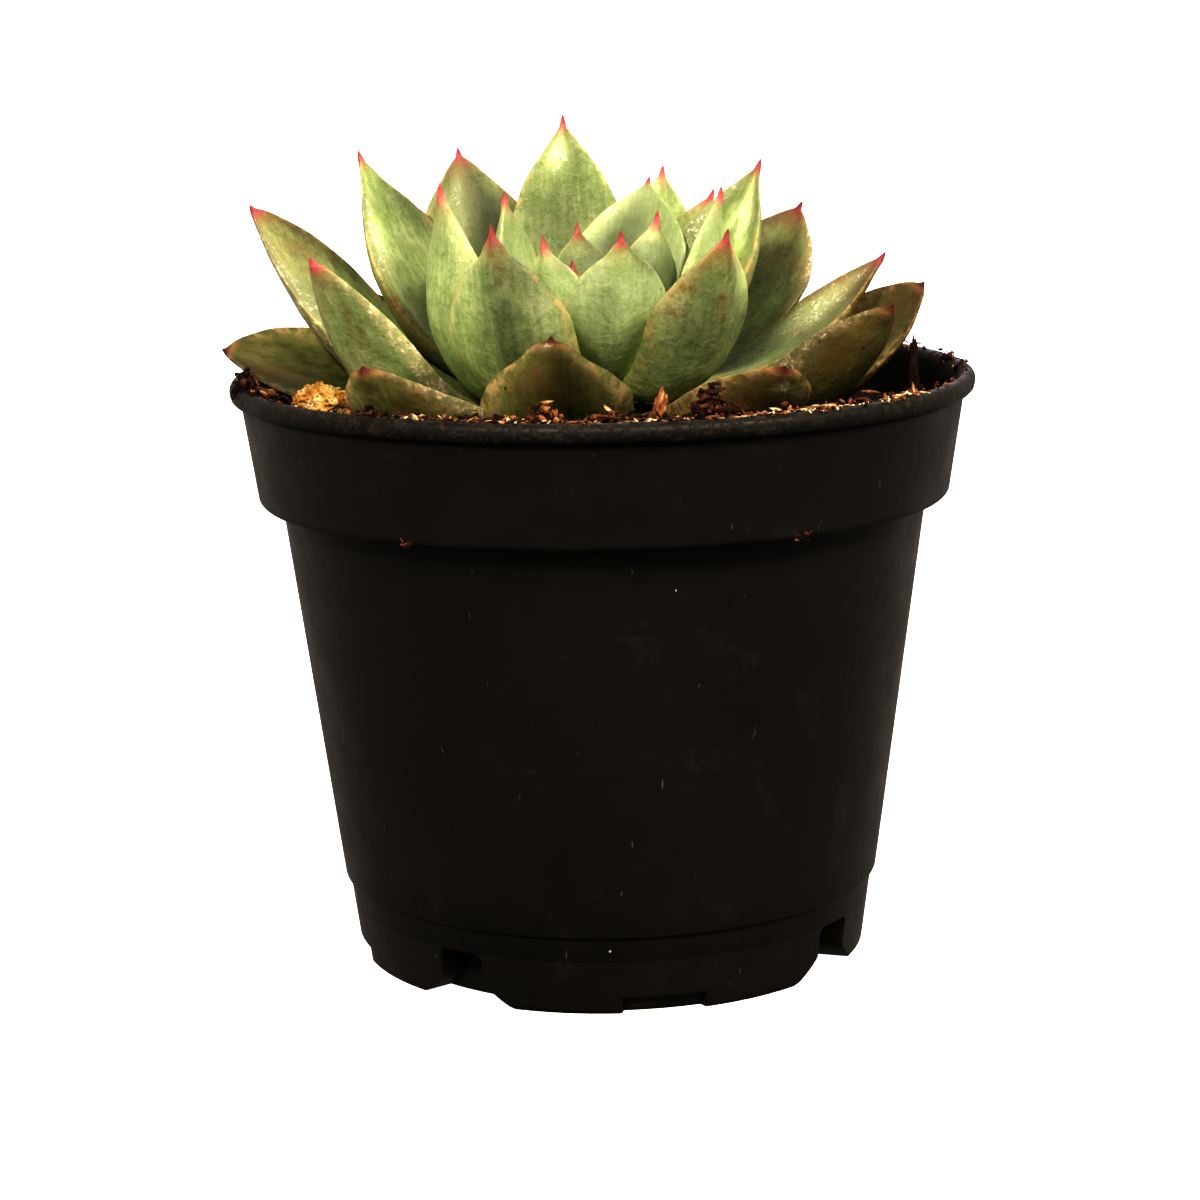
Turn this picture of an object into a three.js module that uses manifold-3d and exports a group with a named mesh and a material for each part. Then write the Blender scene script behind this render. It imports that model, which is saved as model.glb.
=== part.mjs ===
// Potted echeveria rosette. Millimetres, +Z up. The origin is on the ground in the middle of the pot's foot.
// +X is the right-hand side and -Y the side that is seen from the front.
import * as THREE from 'three';
import { mergeVertices } from 'three/addons/utils/BufferGeometryUtils.js';
import Module from 'manifold-3d';

const wasm = await Module();
wasm.setup();

const gap = 0.3; // clear space between pieces that touch on the real plant

// Pot, one thin moulding
const pot = {
  lipR: 52.5, lipTopZ: 83, lipH: 2.6, // rolled lip
  collarTopR: 50.9, collarTopZ: 79.8, collarBottomR: 49.0, collarBottomZ: 65.8,
  bodyTopR: 45.7, stepZ: 11.4, bodyBottomR: 38.6, skirtTopR: 38.0, footR: 36.5,
  wall: 1.0, floorZ: 7.6, floorT: 1.4,
  slots: 8, firstSlot: 11, // degrees; low and tall slots take turns
  tallDepth: 4.4, lowDepth: 1.3, lowH: 2.3, tallHalf: 4.6, lowHalf: 8.6, corner: 0.8, // mm, half widths degrees
  flare: 6.8, flareH: 3.3, archH: 1.2, // tall slots open out below (degrees, mm) and are rounded above
};

// Soil: level near the stem, up to the lip in front, lower at the back right
const soil = { z: 78.2, frontRise: 2.2, backDrop: 2.6, backAz: 40, lump: 0.55 };

// Stem, standing in a plain hole in the soil
const stem = { footZ: 60, topZ: 91, r: 5.2, topR: 2.4 };

// Leaf forms of the five ages: thickness, cup of the inner face, place of the widest point,
// sharpness of the end, bend of the midrib, length of the spine at the tip
const forms = {
  heart: { thick: 4.6, cup: 0.22, widest: 0.61, sharp: 0.95, flank: 1.5, bend: 0.73, spine: 2.0 },
  middle: { thick: 5.2, cup: 0.22, widest: 0.65, sharp: 0.95, flank: 1.5, bend: 0.76, spine: 2.2 },
  outer: { thick: 5.4, cup: 0.25, widest: 0.7, sharp: 0.85, flank: 1.5, bend: 0.78, spine: 1.9 },
  worn: { thick: 5.6, cup: 0.25, widest: 0.71, sharp: 0.68, flank: 1.55, bend: 0.78, spine: 1.3 },
  old: { thick: 6.2, cup: 0.25, widest: 0.74, sharp: 0.62, flank: 1.7, bend: 0.78, spine: 0.9 },
};

// Leaves from the heart outwards: age, direction (degrees), reach and height of the tip, width,
// slope at the stem and at the tip (degrees), roll about the midrib (degrees), height on the stem
const leaves = [
  ['heart', 115, 7.6, 103.4, 9.5, 0, 84, -3, 88],
  ['heart', 320, 10.5, 105.9, 12, 0, 80, -2, 87],
  ['heart', 235, 13.6, 103.1, 11, 0, 82, 3, 86],
  ['heart', 164, 13.8, 108.2, 13, 0, 90, -6, 85.5],
  ['heart', 64, 16.9, 109.1, 16.5, 0, 58, 6, 84.5],
  ['heart', 351, 17.2, 108.8, 13, 1, 80, -6, 84.5],
  ['heart', 278, 20.8, 104.4, 14.5, 0, 70, 8, 84],
  ['middle', 208, 24.5, 110.6, 15, -14, 88, 6, 82.5],
  ['middle', 102, 24.4, 117.8, 17, 3, 88, -8, 82.5],
  ['middle', 12, 23.5, 112, 17, -3, 69, 22, 82.5],
  ['middle', 306, 29, 104.7, 16.5, 0, 72, 0, 82],
  ['middle', 166, 35.2, 114, 18, -2, 72, -20, 81.5],
  ['middle', 242, 30.6, 106.1, 17.5, -4, 82, 12, 81.5],
  ['middle', 71, 29.7, 109.9, 16, 0, 73, 1, 81],
  ['middle', 47, 24.7, 107, 17, 0, 60, 3, 80.5],
  ['outer', 123, 38.6, 112.8, 19, 0, 75, -15, 80],
  ['outer', 38, 38.2, 104.5, 18, -1, 54, 20, 80],
  ['outer', 8, 41.1, 98.5, 14.5, -1, 51, 10, 80],
  ['outer', 90, 41, 101, 17, -2, 60, 0, 79.5],
  ['worn', 179, 49, 107.1, 17.5, -8, 57, -23, 79],
  ['worn', 218, 48.3, 102.4, 16, -12, 62, 5, 79],
  ['outer', 142, 41, 108.6, 17, 0, 62, -6, 79],
  ['old', 62, 46, 96, 17, -2, 50, 0, 78.5],
  ['old', 153, 42, 94, 16, -3, 52, 0, 78.5],
  ['old', 5, 46.2, 94.3, 17, -4, 51, 25, 78],
  ['old', 28, 45, 90, 16, -2, 42, 0, 78],
  ['old', 112, 47, 94, 17, -3, 48, 0, 78],
  ['old', 183, 53.4, 87.3, 18, -2, 20, -27, 77.5],
  ['old', 260, 37.9, 92.4, 20, -3, 96, 9, 77.5],
  ['old', 333, 44.1, 93.8, 17, -2, 54, -18, 77.5],
  ['old', 232, 50.2, 89.3, 18, -2, 62, 10, 77],
  ['old', 298, 49.5, 88.8, 17.5, -3, 45, -10, 77],
];

// Tiny leaves that close the middle: direction, reach, height, width
const buds = [[20, 4.6, 99.5, 6.5], [160, 4.2, 98.6, 6], [270, 3.6, 97.4, 5.5], [75, 2.2, 96, 4.2], [215, 1.8, 95, 4]];

// Loose pieces on the soil: a porous golden grain and coarse bark chips
const grain = { az: 209, r: 43.5, z: 81.8, size: [4.0, 3.1, 2.9] };
const chips = [
  { name: 'bark_chip_front', az: 279.5, r: 43, z: 83, size: [0.9, 0.6, 2.6], turn: 20, tilt: 16 },
  { name: 'bark_chip_right', az: 345.5, r: 44.4, z: 83.7, size: [1.4, 1.0, 6.4], turn: 70, tilt: -4 },
  { name: 'bark_chip_left', az: 196, r: 48, z: 82, size: [2.1, 0.7, 0.9], turn: 50, tilt: 8 },
];

const rad = THREE.MathUtils.degToRad;
const smooth = (x) => { const t = Math.min(1, Math.max(0, x)); return t * t * (3 - 2 * t); };

function toSolid(geometry) {
  const g = geometry.clone();
  for (const name of Object.keys(g.attributes)) if (name !== 'position') g.deleteAttribute(name);
  const m = mergeVertices(g, 1e-4);
  const tri = [];
  for (let i = 0; i < m.index.count; i += 3) {
    const [a, b, c] = [m.index.getX(i), m.index.getX(i + 1), m.index.getX(i + 2)];
    if (a !== b && b !== c && c !== a) tri.push(a, b, c);
  }
  return new wasm.Manifold(new wasm.Mesh({
    numProp: 3, vertProperties: new Float32Array(m.attributes.position.array), triVerts: new Uint32Array(tri),
  }));
}

function toGeometry(solid) {
  const m = solid.getMesh();
  const pos = new Float32Array((m.vertProperties.length / m.numProp) * 3);
  for (let i = 0; i < pos.length / 3; i++) for (let k = 0; k < 3; k++) pos[i * 3 + k] = m.vertProperties[i * m.numProp + k];
  const g = new THREE.BufferGeometry();
  g.setAttribute('position', new THREE.BufferAttribute(pos, 3));
  g.setIndex(new THREE.BufferAttribute(new Uint32Array(m.triVerts), 1));
  return g;
}

// A closed skin over rings of points, with a point at each end
function skin(rings, start, end) {
  const n = rings[0].length;
  const pos = [];
  const idx = [];
  for (const ring of rings) for (const p of ring) pos.push(p.x, p.y, p.z);
  pos.push(start.x, start.y, start.z, end.x, end.y, end.z);
  const a = rings.length * n;
  for (let j = 0; j < n; j++) {
    const k = (j + 1) % n;
    for (let i = 0; i < rings.length - 1; i++) {
      idx.push(i * n + j, i * n + k, (i + 1) * n + k, i * n + j, (i + 1) * n + k, (i + 1) * n + j);
    }
    idx.push(a, k, j, (rings.length - 1) * n + j, (rings.length - 1) * n + k, a + 1);
  }
  const g = new THREE.BufferGeometry();
  g.setAttribute('position', new THREE.Float32BufferAttribute(pos, 3));
  g.setIndex(idx);
  return g;
}

// One fleshy leaf. Its midrib leaves the stem nearly level and turns up towards the tip; the inner face is
// cupped, the outer face rounded with a slight keel, and the end runs out into a short spine.
const stations = [0, 0.15, 0.32, 0.48, 0.63, 0.76, 0.86, 0.93];
const sides = [0, 42, 90, 138, 180, 212, 243, 270, 297, 328].map(rad);

function leafGeometry([age, az, reach, top, width, startSlope, endSlope, roll, baseZ], grow = 0, coarse = false) {
  const f = forms[age];
  const thick = (age === 'heart' ? Math.min(4.8, 0.36 * width) : f.thick);
  const h = new THREE.Vector3(Math.cos(rad(az)), Math.sin(rad(az)), 0);
  const up = new THREE.Vector3(0, 0, 1);
  const side0 = new THREE.Vector3(-h.y, h.x, 0);
  const at = (x, z) => h.clone().multiplyScalar(x).addScaledVector(up, z);
  const baseR = baseZ > 90 ? 1.2 : 5.7 - 0.12 * (baseZ - 76);
  const [c0, s0] = [Math.cos(rad(startSlope)), Math.sin(rad(startSlope))];
  const [c1, s1] = [Math.cos(rad(endSlope)), Math.sin(rad(endSlope))];
  const [dx, dz] = [reach - baseR, top - baseZ];
  const chord = Math.hypot(dx, dz);
  const det = c0 * s1 - c1 * s0;
  const keep = (v) => Math.min(0.9 * chord, Math.max(0.2 * chord, v));
  const a = keep(((dx * s1 - dz * c1) / det) * f.bend);
  const b = keep(((c0 * dz - s0 * dx) / det) * f.bend);
  const midrib = new THREE.CubicBezierCurve3(
    at(baseR - grow, baseZ), at(baseR + a * c0, baseZ + a * s0), at(reach - b * c1, top - b * s1),
    at(reach + grow * c1, top + grow * s1));
  midrib.arcLengthDivisions = 200;
  const length = midrib.getLength();
  const spine = f.spine / length;
  const rings = [];
  const neck = 1 - spine * 0.85; // where the spine begins
  const before = (coarse ? [0, 0.3, 0.6, 0.8] : stations).filter((s) => s < neck - 0.03);
  for (const s of coarse ? [...before, neck] : [...before, neck, 1 - spine * 0.3]) {
    const centre = midrib.getPointAt(s);
    const t = midrib.getTangentAt(s);
    const n0 = t.clone().cross(side0);
    const r = rad(roll) * smooth(s * 2);
    const across = side0.clone().multiplyScalar(Math.cos(r)).addScaledVector(n0, Math.sin(r));
    const normal = t.clone().cross(across);
    const u = Math.min(1, s / (1 - 0.6 * spine));
    const w = u < f.widest ? 0.36 + 0.64 * Math.sin((Math.PI / 2) * (u / f.widest)) ** 1.4
      : Math.max(0, 1 - ((u - f.widest) / (1 - f.widest)) ** f.flank) ** f.sharp;
    let half = Math.max((width / 2) * w, 0.62 * Math.min(1, ((1 - s) * length) / f.spine) ** 0.7);
    let body = thick * (0.42 + 0.58 * Math.sin(Math.PI * Math.min(1, (u + 0.02) / 0.95)) ** 0.8)
      * (1 - 0.6 * smooth((u - 0.55) / 0.45));
    body = Math.max(Math.min(body, half * 1.35), Math.min(0.9, half * 1.8));
    const keel = 0.4 * smooth((u - 0.25) / 0.6);
    const cup = f.cup * half * smooth(u * 3);
    half += grow;
    rings.push(sides.map((q) => {
      const [c, sn] = [Math.abs(Math.cos(q)), Math.sin(q)];
      const rim = Math.sqrt(Math.max(0, 1 - c ** 2.4));
      const below = (1 - keel) * rim + keel * (1 - c) ** 1.1;
      const n = cup * c * c + (sn >= 0 ? (0.28 * body + grow) * rim : -(0.72 * body + grow) * below);
      return centre.clone().addScaledVector(across, half * Math.cos(q)).addScaledVector(normal, n);
    }));
  }
  return skin(rings, midrib.getPoint(0), midrib.getPoint(1));
}

// A round body from a profile that starts and ends on the axis, or closes on itself
const turned = (points, segments) => new THREE.LatheGeometry(points.map(([x, y]) => new THREE.Vector2(x, y)), segments)
  .rotateX(Math.PI / 2);

// Repeatable uneven surface
const bumps = (x, y, z) => Math.sin(x * 0.9 + 1.3) * Math.cos(y * 0.8 - 0.4) + 0.6 * Math.sin(x * 1.9 - y * 1.6 + z)
  + 0.4 * Math.cos(x * 3.1 + y * 2.7 - z * 1.1);

function potSolid() {
  const p = pot;
  const w = p.wall;
  const lipZ = p.lipTopZ;
  const outerFoot = p.footR + (p.skirtTopR - p.footR) * (p.floorZ / p.stepZ);
  const shell = toSolid(turned([
    [0, p.floorZ], [outerFoot, p.floorZ], [p.skirtTopR, p.stepZ - 0.2], [p.skirtTopR + 0.15, p.stepZ],
    [p.bodyBottomR, p.stepZ + 0.1], [p.bodyTopR, p.collarBottomZ], [p.collarBottomR - 1.2, p.collarBottomZ],
    [p.collarBottomR - 0.35, p.collarBottomZ + 0.35], [p.collarBottomR, p.collarBottomZ + 1.2],
    [p.collarTopR, p.collarTopZ], [p.lipR - 0.7, lipZ - p.lipH], [p.lipR - 0.1, lipZ - p.lipH + 0.6],
    [p.lipR, lipZ - 1], [p.lipR - 0.45, lipZ - 0.25], [p.lipR - 1.2, lipZ], [p.lipR - 2, lipZ - 0.3],
    [p.lipR - 2.5, lipZ - 1.2], [p.collarTopR - w, p.collarTopZ - 0.6], [p.collarBottomR - w, p.collarBottomZ + w],
    [p.bodyTopR - w, p.collarBottomZ + w - 0.5], [p.bodyTopR - w - 0.1, p.collarBottomZ - 1],
    [p.bodyBottomR - w, p.stepZ], [p.skirtTopR - w - 0.4, p.floorZ + p.floorT], [0, p.floorZ + p.floorT],
  ], 60));
  // Foot ring: eight lobes, with the wall stepping in at the slots
  const pitch = 360 / p.slots;
  const openHalf = (z) => { // half width of a tall slot at a height, degrees
    const low = Math.max(0, 1 - z / p.flareH);
    const high = Math.max(0, Math.min(1, (z - (p.floorZ - p.archH)) / p.archH));
    return p.tallHalf + p.flare * low ** 1.25 - 1.6 * (1 - Math.sqrt(1 - high * high));
  };
  const columns = []; // each keeps its place beside a slot's edge: slot, side, offset at the slot's usual width
  for (let i = 0; i < p.slots; i++) {
    const tall = i % 2 === 1;
    const half = tall ? p.tallHalf : p.lowHalf;
    const steps = tall ? [0, 2.3, half, half + p.corner, 9, 13.5, 18] : [0, 4.3, half, half + p.corner, 14.5, 18.5, 22.5];
    for (const d of steps) {
      columns.push({ i, tall, side: 1, d });
      if (d > 0) columns.push({ i, tall, side: -1, d });
    }
  }
  const placed = columns.map((c) => ({ ...c, at: p.firstSlot + c.i * pitch + c.side * c.d })).sort((u, v) => u.at - v.at);
  const ring = (z, inner) => placed.map((c) => {
    const half = c.tall ? p.tallHalf : p.lowHalf;
    const open = c.tall ? openHalf(z) : half;
    const off = c.d <= half ? (c.d * open) / half
      : open + p.corner * Math.min(1, (c.d - half) / p.corner)
        + Math.max(0, (c.d - half - p.corner) / (22.5 - half - p.corner)) * (22.5 - open - p.corner);
    const depth = c.tall ? p.tallDepth : (inner || z < p.lowH + 0.05 ? p.lowDepth : 0);
    const step = 1 - smooth((c.d - half) / p.corner);
    const a = rad(p.firstSlot + c.i * pitch + c.side * off);
    const r = p.footR + (p.skirtTopR - p.footR) * ((inner ? 0 : z) / p.stepZ) - depth * step - (z < 0.3 ? 0.35 : 0)
      - (inner ? w + 0.1 : 0);
    return [r * Math.cos(a), r * Math.sin(a), z];
  });
  const levels = [0, 0.5, 1.6, p.lowH, p.lowH + 0.1, p.flareH, p.floorZ - p.archH, p.floorZ - 0.35, p.floorZ + 0.4];
  const loops = [...levels.map((z) => ring(z, false)), ring(p.floorZ + 0.4, true), ring(0, true)];
  const n = placed.length;
  const pos = loops.flat(2);
  const idx = [];
  for (let i = 0; i < loops.length; i++) {
    const k = (i + 1) % loops.length;
    for (let j = 0; j < n; j++) {
      const q = (j + 1) % n;
      idx.push(i * n + j, i * n + q, k * n + q, i * n + j, k * n + q, k * n + j);
    }
  }
  const g = new THREE.BufferGeometry();
  g.setAttribute('position', new THREE.Float32BufferAttribute(pos, 3));
  g.setIndex(idx);
  return toSolid(g).add(shell);
}

// Soil filling the pot, with an uneven top
function soilSolid() {
  const p = pot;
  const w = p.wall + gap;
  const sectors = 48;
  const surface = (r, a) => {
    const edge = smooth((r - 16) / 26);
    const front = Math.max(0, -Math.sin(a)) ** 0.8;
    const away = Math.max(0, Math.cos(a - rad(soil.backAz))) ** 2;
    const x = r * Math.cos(a);
    const y = r * Math.sin(a);
    return soil.z + edge * (soil.frontRise * front - soil.backDrop * away) + soil.lump * bumps(x, y, 0) * smooth(r / 10);
  };
  const wallAt = (z) => {
    if (z > p.collarBottomZ + p.wall) {
      return p.collarBottomR - w + ((p.collarTopR - p.collarBottomR) * (z - p.collarBottomZ - 1)) / (p.collarTopZ - p.collarBottomZ - 1);
    }
    return p.bodyBottomR - w + ((p.bodyTopR - p.bodyBottomR) * (z - p.stepZ)) / (p.collarBottomZ - p.stepZ);
  };
  const floor = p.floorZ + p.floorT + gap;
  const turnZ = p.collarBottomZ + p.wall + gap;
  const rings = [];
  const ringAt = (rOf, zOf) => {
    const ring = [];
    for (let j = 0; j < sectors; j++) {
      const a = (j / sectors) * 2 * Math.PI;
      const [r, z] = [rOf(a), zOf(a)];
      ring.push(new THREE.Vector3(r * Math.cos(a), r * Math.sin(a), z));
    }
    rings.push(ring);
  };
  ringAt(() => p.skirtTopR - w - 0.5, () => floor);
  ringAt(() => p.bodyBottomR - w - 0.1, () => p.stepZ + 0.4);
  ringAt(() => wallAt(p.collarBottomZ - 1.2) - 0.1, () => p.collarBottomZ - 1.2);
  ringAt(() => p.bodyTopR - w - 0.1, () => turnZ);
  ringAt(() => p.collarBottomR - w - 0.1, () => turnZ);
  ringAt(() => 48.3, (a) => surface(48.3, a) - 0.4);
  for (const r of [46.5, 42, 37, 31, 24, 16, 9]) ringAt(() => r, (a) => surface(r, a));
  return toSolid(skin(rings, new THREE.Vector3(0, 0, floor), new THREE.Vector3(0, 0, soil.z)));
}

// A rough lump: a ball pushed in and out by the uneven surface, stretched and turned
function lump(size, detail, rough, az, r, z, turn = 0, tilt = 0) {
  const g = new THREE.IcosahedronGeometry(1, detail);
  const pos = g.attributes.position;
  const v = new THREE.Vector3();
  for (let i = 0; i < pos.count; i++) {
    v.fromBufferAttribute(pos, i);
    const k = 1 + rough * bumps(v.x * 3 + az, v.y * 3, v.z * 3);
    pos.setXYZ(i, v.x * k * size[0], v.y * k * size[1], v.z * k * size[2]);
  }
  g.rotateY(rad(tilt)).rotateZ(rad(turn)).translate(r * Math.cos(rad(az)), r * Math.sin(rad(az)), z);
  return g;
}

const finest = 0.02; // edges shorter than this, left by the cuts, are closed up
const largest = (solid) => solid.simplify(finest).decompose().sort((a, b) => b.volume() - a.volume())[0];

const part = new THREE.Group();
part.name = 'potted_echeveria';
const looks = {
  plastic: { color: 0x161412, roughness: 0.42 }, soil: { color: 0x3a2518, roughness: 0.95 },
  stem: { color: 0x6f6a3c, roughness: 0.7 }, worn: { color: 0x8ba55e, roughness: 0.45 }, heart: { color: 0xa6c479, roughness: 0.45 },
  middle: { color: 0x93b36b, roughness: 0.45 }, outer: { color: 0x8ba55e, roughness: 0.45 },
  old: { color: 0x6d6c3c, roughness: 0.5 }, grain: { color: 0xd7a04a, roughness: 0.9 }, bark: { color: 0x8a4a22, roughness: 0.9 },
};
function put(name, solid, look) {
  const mesh = new THREE.Mesh(toGeometry(solid), new THREE.MeshStandardMaterial({ ...looks[look], metalness: 0 }));
  mesh.name = name;
  part.add(mesh);
}

const stemProfile = (g) => [[0, stem.footZ - g], [stem.r + g, stem.footZ - g], [stem.r + g, 80], [stem.r - 0.6 + g, 86],
  [stem.topR + g, stem.topZ + g], [0, stem.topZ + 0.6 + g]];
const stemSolid = toSolid(turned(stemProfile(0), 20));
const stemSpace = toSolid(turned(stemProfile(gap), 20));

// The heart, one body round the growing tip
const budRow = ([az, reach, top, width]) => ['heart', az, reach, top, width, 55, 86, 0, 90.5];
const budSpace = (grow) => buds.map((b) => toSolid(leafGeometry(budRow(b), grow, true)));
const core = (g) => toSolid(turned([[0, 91.9 - g], [2.2 + g, 92.2 - g], [2.4 + g, 93.4], [0.9 + g, 95.6 + g], [0, 96 + g]], 14));
const heartSolid = largest(wasm.Manifold.union([core(0), ...budSpace(0)]).subtract(stemSpace));
const heartSpace = wasm.Manifold.union([core(gap), ...budSpace(gap)]);

// Each leaf gives way to the stem and to the younger leaves that it lies against
const taken = [stemSpace, heartSpace];
const near = (a, b) => {
  const [p, q] = [a.boundingBox(), b.boundingBox()];
  return [0, 1, 2].every((k) => p.min[k] <= q.max[k] && q.min[k] <= p.max[k]);
};
const leafSolids = leaves.map((row) => {
  let solid = toSolid(leafGeometry(row));
  for (const other of taken) if (near(solid, other)) solid = solid.subtract(other);
  taken.push(toSolid(leafGeometry(row, gap)));
  return largest(solid);
});

const potBody = potSolid();
let loose = [{ name: 'porous_grain', solid: toSolid(lump(grain.size, 2, 0.09, grain.az, grain.r, grain.z)), look: 'grain' },
  ...chips.map((c) => ({ name: c.name, solid: toSolid(lump(c.size, 1, 0.1, c.az, c.r, c.z, c.turn, c.tilt)), look: 'bark' }))];
loose = loose.map((l) => ({ ...l, solid: taken.reduce((s, t) => (near(s, t) ? s.subtract(t) : s), l.solid) }));

let soilBody = soilSolid();
for (const space of taken) if (near(soilBody, space)) soilBody = soilBody.subtract(space);
for (const l of loose) soilBody = soilBody.subtract(l.solid.scale(1));

put('pot', potBody, 'plastic');
put('soil', largest(soilBody), 'soil');
put('stem', stemSolid, 'stem');
put('heart', heartSolid, 'heart');
leafSolids.forEach((solid, i) => put(`leaf_${String(i + 1).padStart(2, '0')}`, solid, leaves[i][0]));
for (const l of loose) put(l.name, largest(l.solid), l.look);

export default part;
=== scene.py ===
import math
import random
import bpy
import bmesh
import numpy as np
from mathutils import Matrix, Vector, noise


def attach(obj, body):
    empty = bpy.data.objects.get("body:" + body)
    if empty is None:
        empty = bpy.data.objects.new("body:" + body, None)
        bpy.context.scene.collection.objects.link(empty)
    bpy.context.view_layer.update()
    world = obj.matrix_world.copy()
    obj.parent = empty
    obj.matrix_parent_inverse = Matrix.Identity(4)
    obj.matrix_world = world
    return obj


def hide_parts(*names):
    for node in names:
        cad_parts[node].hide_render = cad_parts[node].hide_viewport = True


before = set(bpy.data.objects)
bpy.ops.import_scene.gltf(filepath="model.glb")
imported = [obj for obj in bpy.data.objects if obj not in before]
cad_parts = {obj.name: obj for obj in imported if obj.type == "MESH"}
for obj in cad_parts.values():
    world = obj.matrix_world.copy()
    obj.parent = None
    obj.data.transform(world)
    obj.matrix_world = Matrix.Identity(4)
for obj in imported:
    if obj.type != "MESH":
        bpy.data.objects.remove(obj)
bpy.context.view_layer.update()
mm = 0.001
scene = bpy.context.scene
scene.view_settings.view_transform = "Standard"
scene.view_settings.look = "High Contrast"


# colours and nodes

def hexColour(code):
    channels = [int(code[i:i + 2], 16) / 255 for i in (1, 3, 5)]
    return tuple(c / 12.92 if c <= 0.04045 else ((c + 0.055) / 1.055) ** 2.4 for c in channels) + (1.0,)


def linkTo(tree, node, links):
    for key, source in links.items():
        tree.links.new(source.outputs[0] if isinstance(source, bpy.types.Node) else source, node.inputs[key])


def addNode(tree, kind, settings=None, links=None):
    # settings: socket or property values, "ramp" for colour stops; links: nodes or sockets that feed this node
    n = tree.nodes.new("ShaderNode" + kind)
    for key, value in (settings or {}).items():
        if key == "ramp":
            stops = n.color_ramp.elements
            while len(stops) < len(value):
                stops.new(0.5)
            for stop, (place, colour) in zip(stops, value):
                stop.position = place
                stop.color = hexColour(colour)
        elif isinstance(key, int) or key in n.inputs:
            n.inputs[key].default_value = hexColour(value) if isinstance(value, str) and value[0] == "#" else value
        else:
            setattr(n, key, value)
    linkTo(tree, n, links or {})
    return n


def startMaterial(name, shader):
    material = bpy.data.materials.new(name)
    material.use_nodes = True
    tree = material.node_tree
    tree.nodes.clear()
    bsdf = addNode(tree, "BsdfPrincipled", shader)
    addNode(tree, "OutputMaterial", {}, {"Surface": bsdf})
    return material, tree, bsdf, addNode(tree, "TexCoord").outputs["Object"]


def maskOf(tree, sources, terms, how="MULTIPLY", curve="SMOOTHSTEP"):
    # joins terms to one mask: each names a source, a range of its values and what that becomes, and can have a curve
    mask = None
    for name, low, high, toLow, toHigh, *own in terms:
        term = addNode(tree, "MapRange", {"From Min": low, "From Max": high, "To Min": toLow, "To Max": toHigh,
                                          "interpolation_type": own[0] if own else curve}, {0: sources[name]})
        if mask:
            term = addNode(tree, "Math", {"operation": how, "use_clamp": True}, {0: mask, 1: term})
        mask = term
    return mask


def addLayers(tree, sources, face, layers, curve="SMOOTHSTEP"):
    # paints colours over one another, each through the mask that its terms make
    for colour, *terms in layers:
        links = {0: maskOf(tree, sources, terms, curve=curve), 6: face}
        face = addNode(tree, "Mix", {"data_type": "RGBA", 7: colour}, links).outputs[2]
    return face


def spotsOf(tree, place, gap, share, small, large, curve="SMOOTHSTEP"):
    # round spots: about one to each gap (mm), a share of them left out, their radius in shares of the gap
    cells = addNode(tree, "TexVoronoi", {"Scale": perMm(gap), "Randomness": 1.0}, {"Vector": place})
    pick = addNode(tree, "SeparateColor", {}, {0: cells.outputs["Color"]})
    few = addNode(tree, "Math", {"operation": "GREATER_THAN", 1: share}, {0: pick})
    radius = maskOf(tree, {"pick": pick.outputs[1]}, [("pick", 0, 1, small, large)], curve=curve)
    near = addNode(tree, "Math", {"operation": "LESS_THAN"}, {0: cells, 1: radius})
    return addNode(tree, "Math", {"operation": "MULTIPLY"}, {0: few, 1: near})


def perMm(size):
    return 1000 / size  # texture scale for features of that many millimetres


# pieces

def makePiece(name, points, faces, material, values=None):
    mesh = bpy.data.meshes.new(name)
    mesh.from_pydata([tuple(p) for p in points], [], [tuple(f) for f in faces])
    mesh.polygons.foreach_set("use_smooth", [True] * len(mesh.polygons))
    for key, numbers in (values or {}).items():
        layer = mesh.attributes.new(key, "FLOAT", "POINT")
        layer.data.foreach_set("value", np.asarray(numbers, np.float32))
    mesh.materials.append(material)
    mesh.update()
    piece = bpy.data.objects.new(name, mesh)
    scene.collection.objects.link(piece)
    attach(piece, "root")
    return piece


def joinParts(parts):
    # several loose meshes as one: each part starts with its points and faces
    points, faces, count = [], [], 0
    for part in parts:
        points.append(part[0])
        faces += [tuple(k + count for k in face) for face in part[1]]
        count += len(part[0])
    return np.concatenate(points), faces


def gridFaces(rows, columns, caps=False):
    # faces between closed rings of points, and with caps also over the first and the last ring
    faces = []
    for i in range(rows - 1):
        for j in range(columns):
            k = (j + 1) % columns
            faces.append((i * columns + j, i * columns + k, (i + 1) * columns + k, (i + 1) * columns + j))
    if caps:
        faces += [tuple(range(columns))[::-1], tuple(range((rows - 1) * columns, rows * columns))]
    return faces


def between(ends, share):
    return ends[0] + (ends[1] - ends[0]) * share


def onCircle(degrees, r):
    a = math.radians(degrees)
    return r * math.cos(a), r * math.sin(a)


def smoothStep(x):
    t = np.clip(x, 0, 1)
    return t * t * (3 - 2 * t)


def wobble(points, size, seed):
    # gentle uneven values between about -1 and 1, for points in millimetres
    shift = Vector((seed * 3.7, seed * 1.9, -seed * 2.3))
    return np.array([noise.noise(Vector(p) / size + shift) for p in points])


# camera, at the photograph's angle

cameraSet = {"place": (-0.883, -430.874, 138.864), "down": 11.68, "lean": -1.046, "focal": 3060.7, "frame": 1200,
             "sensor": 36}


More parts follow.
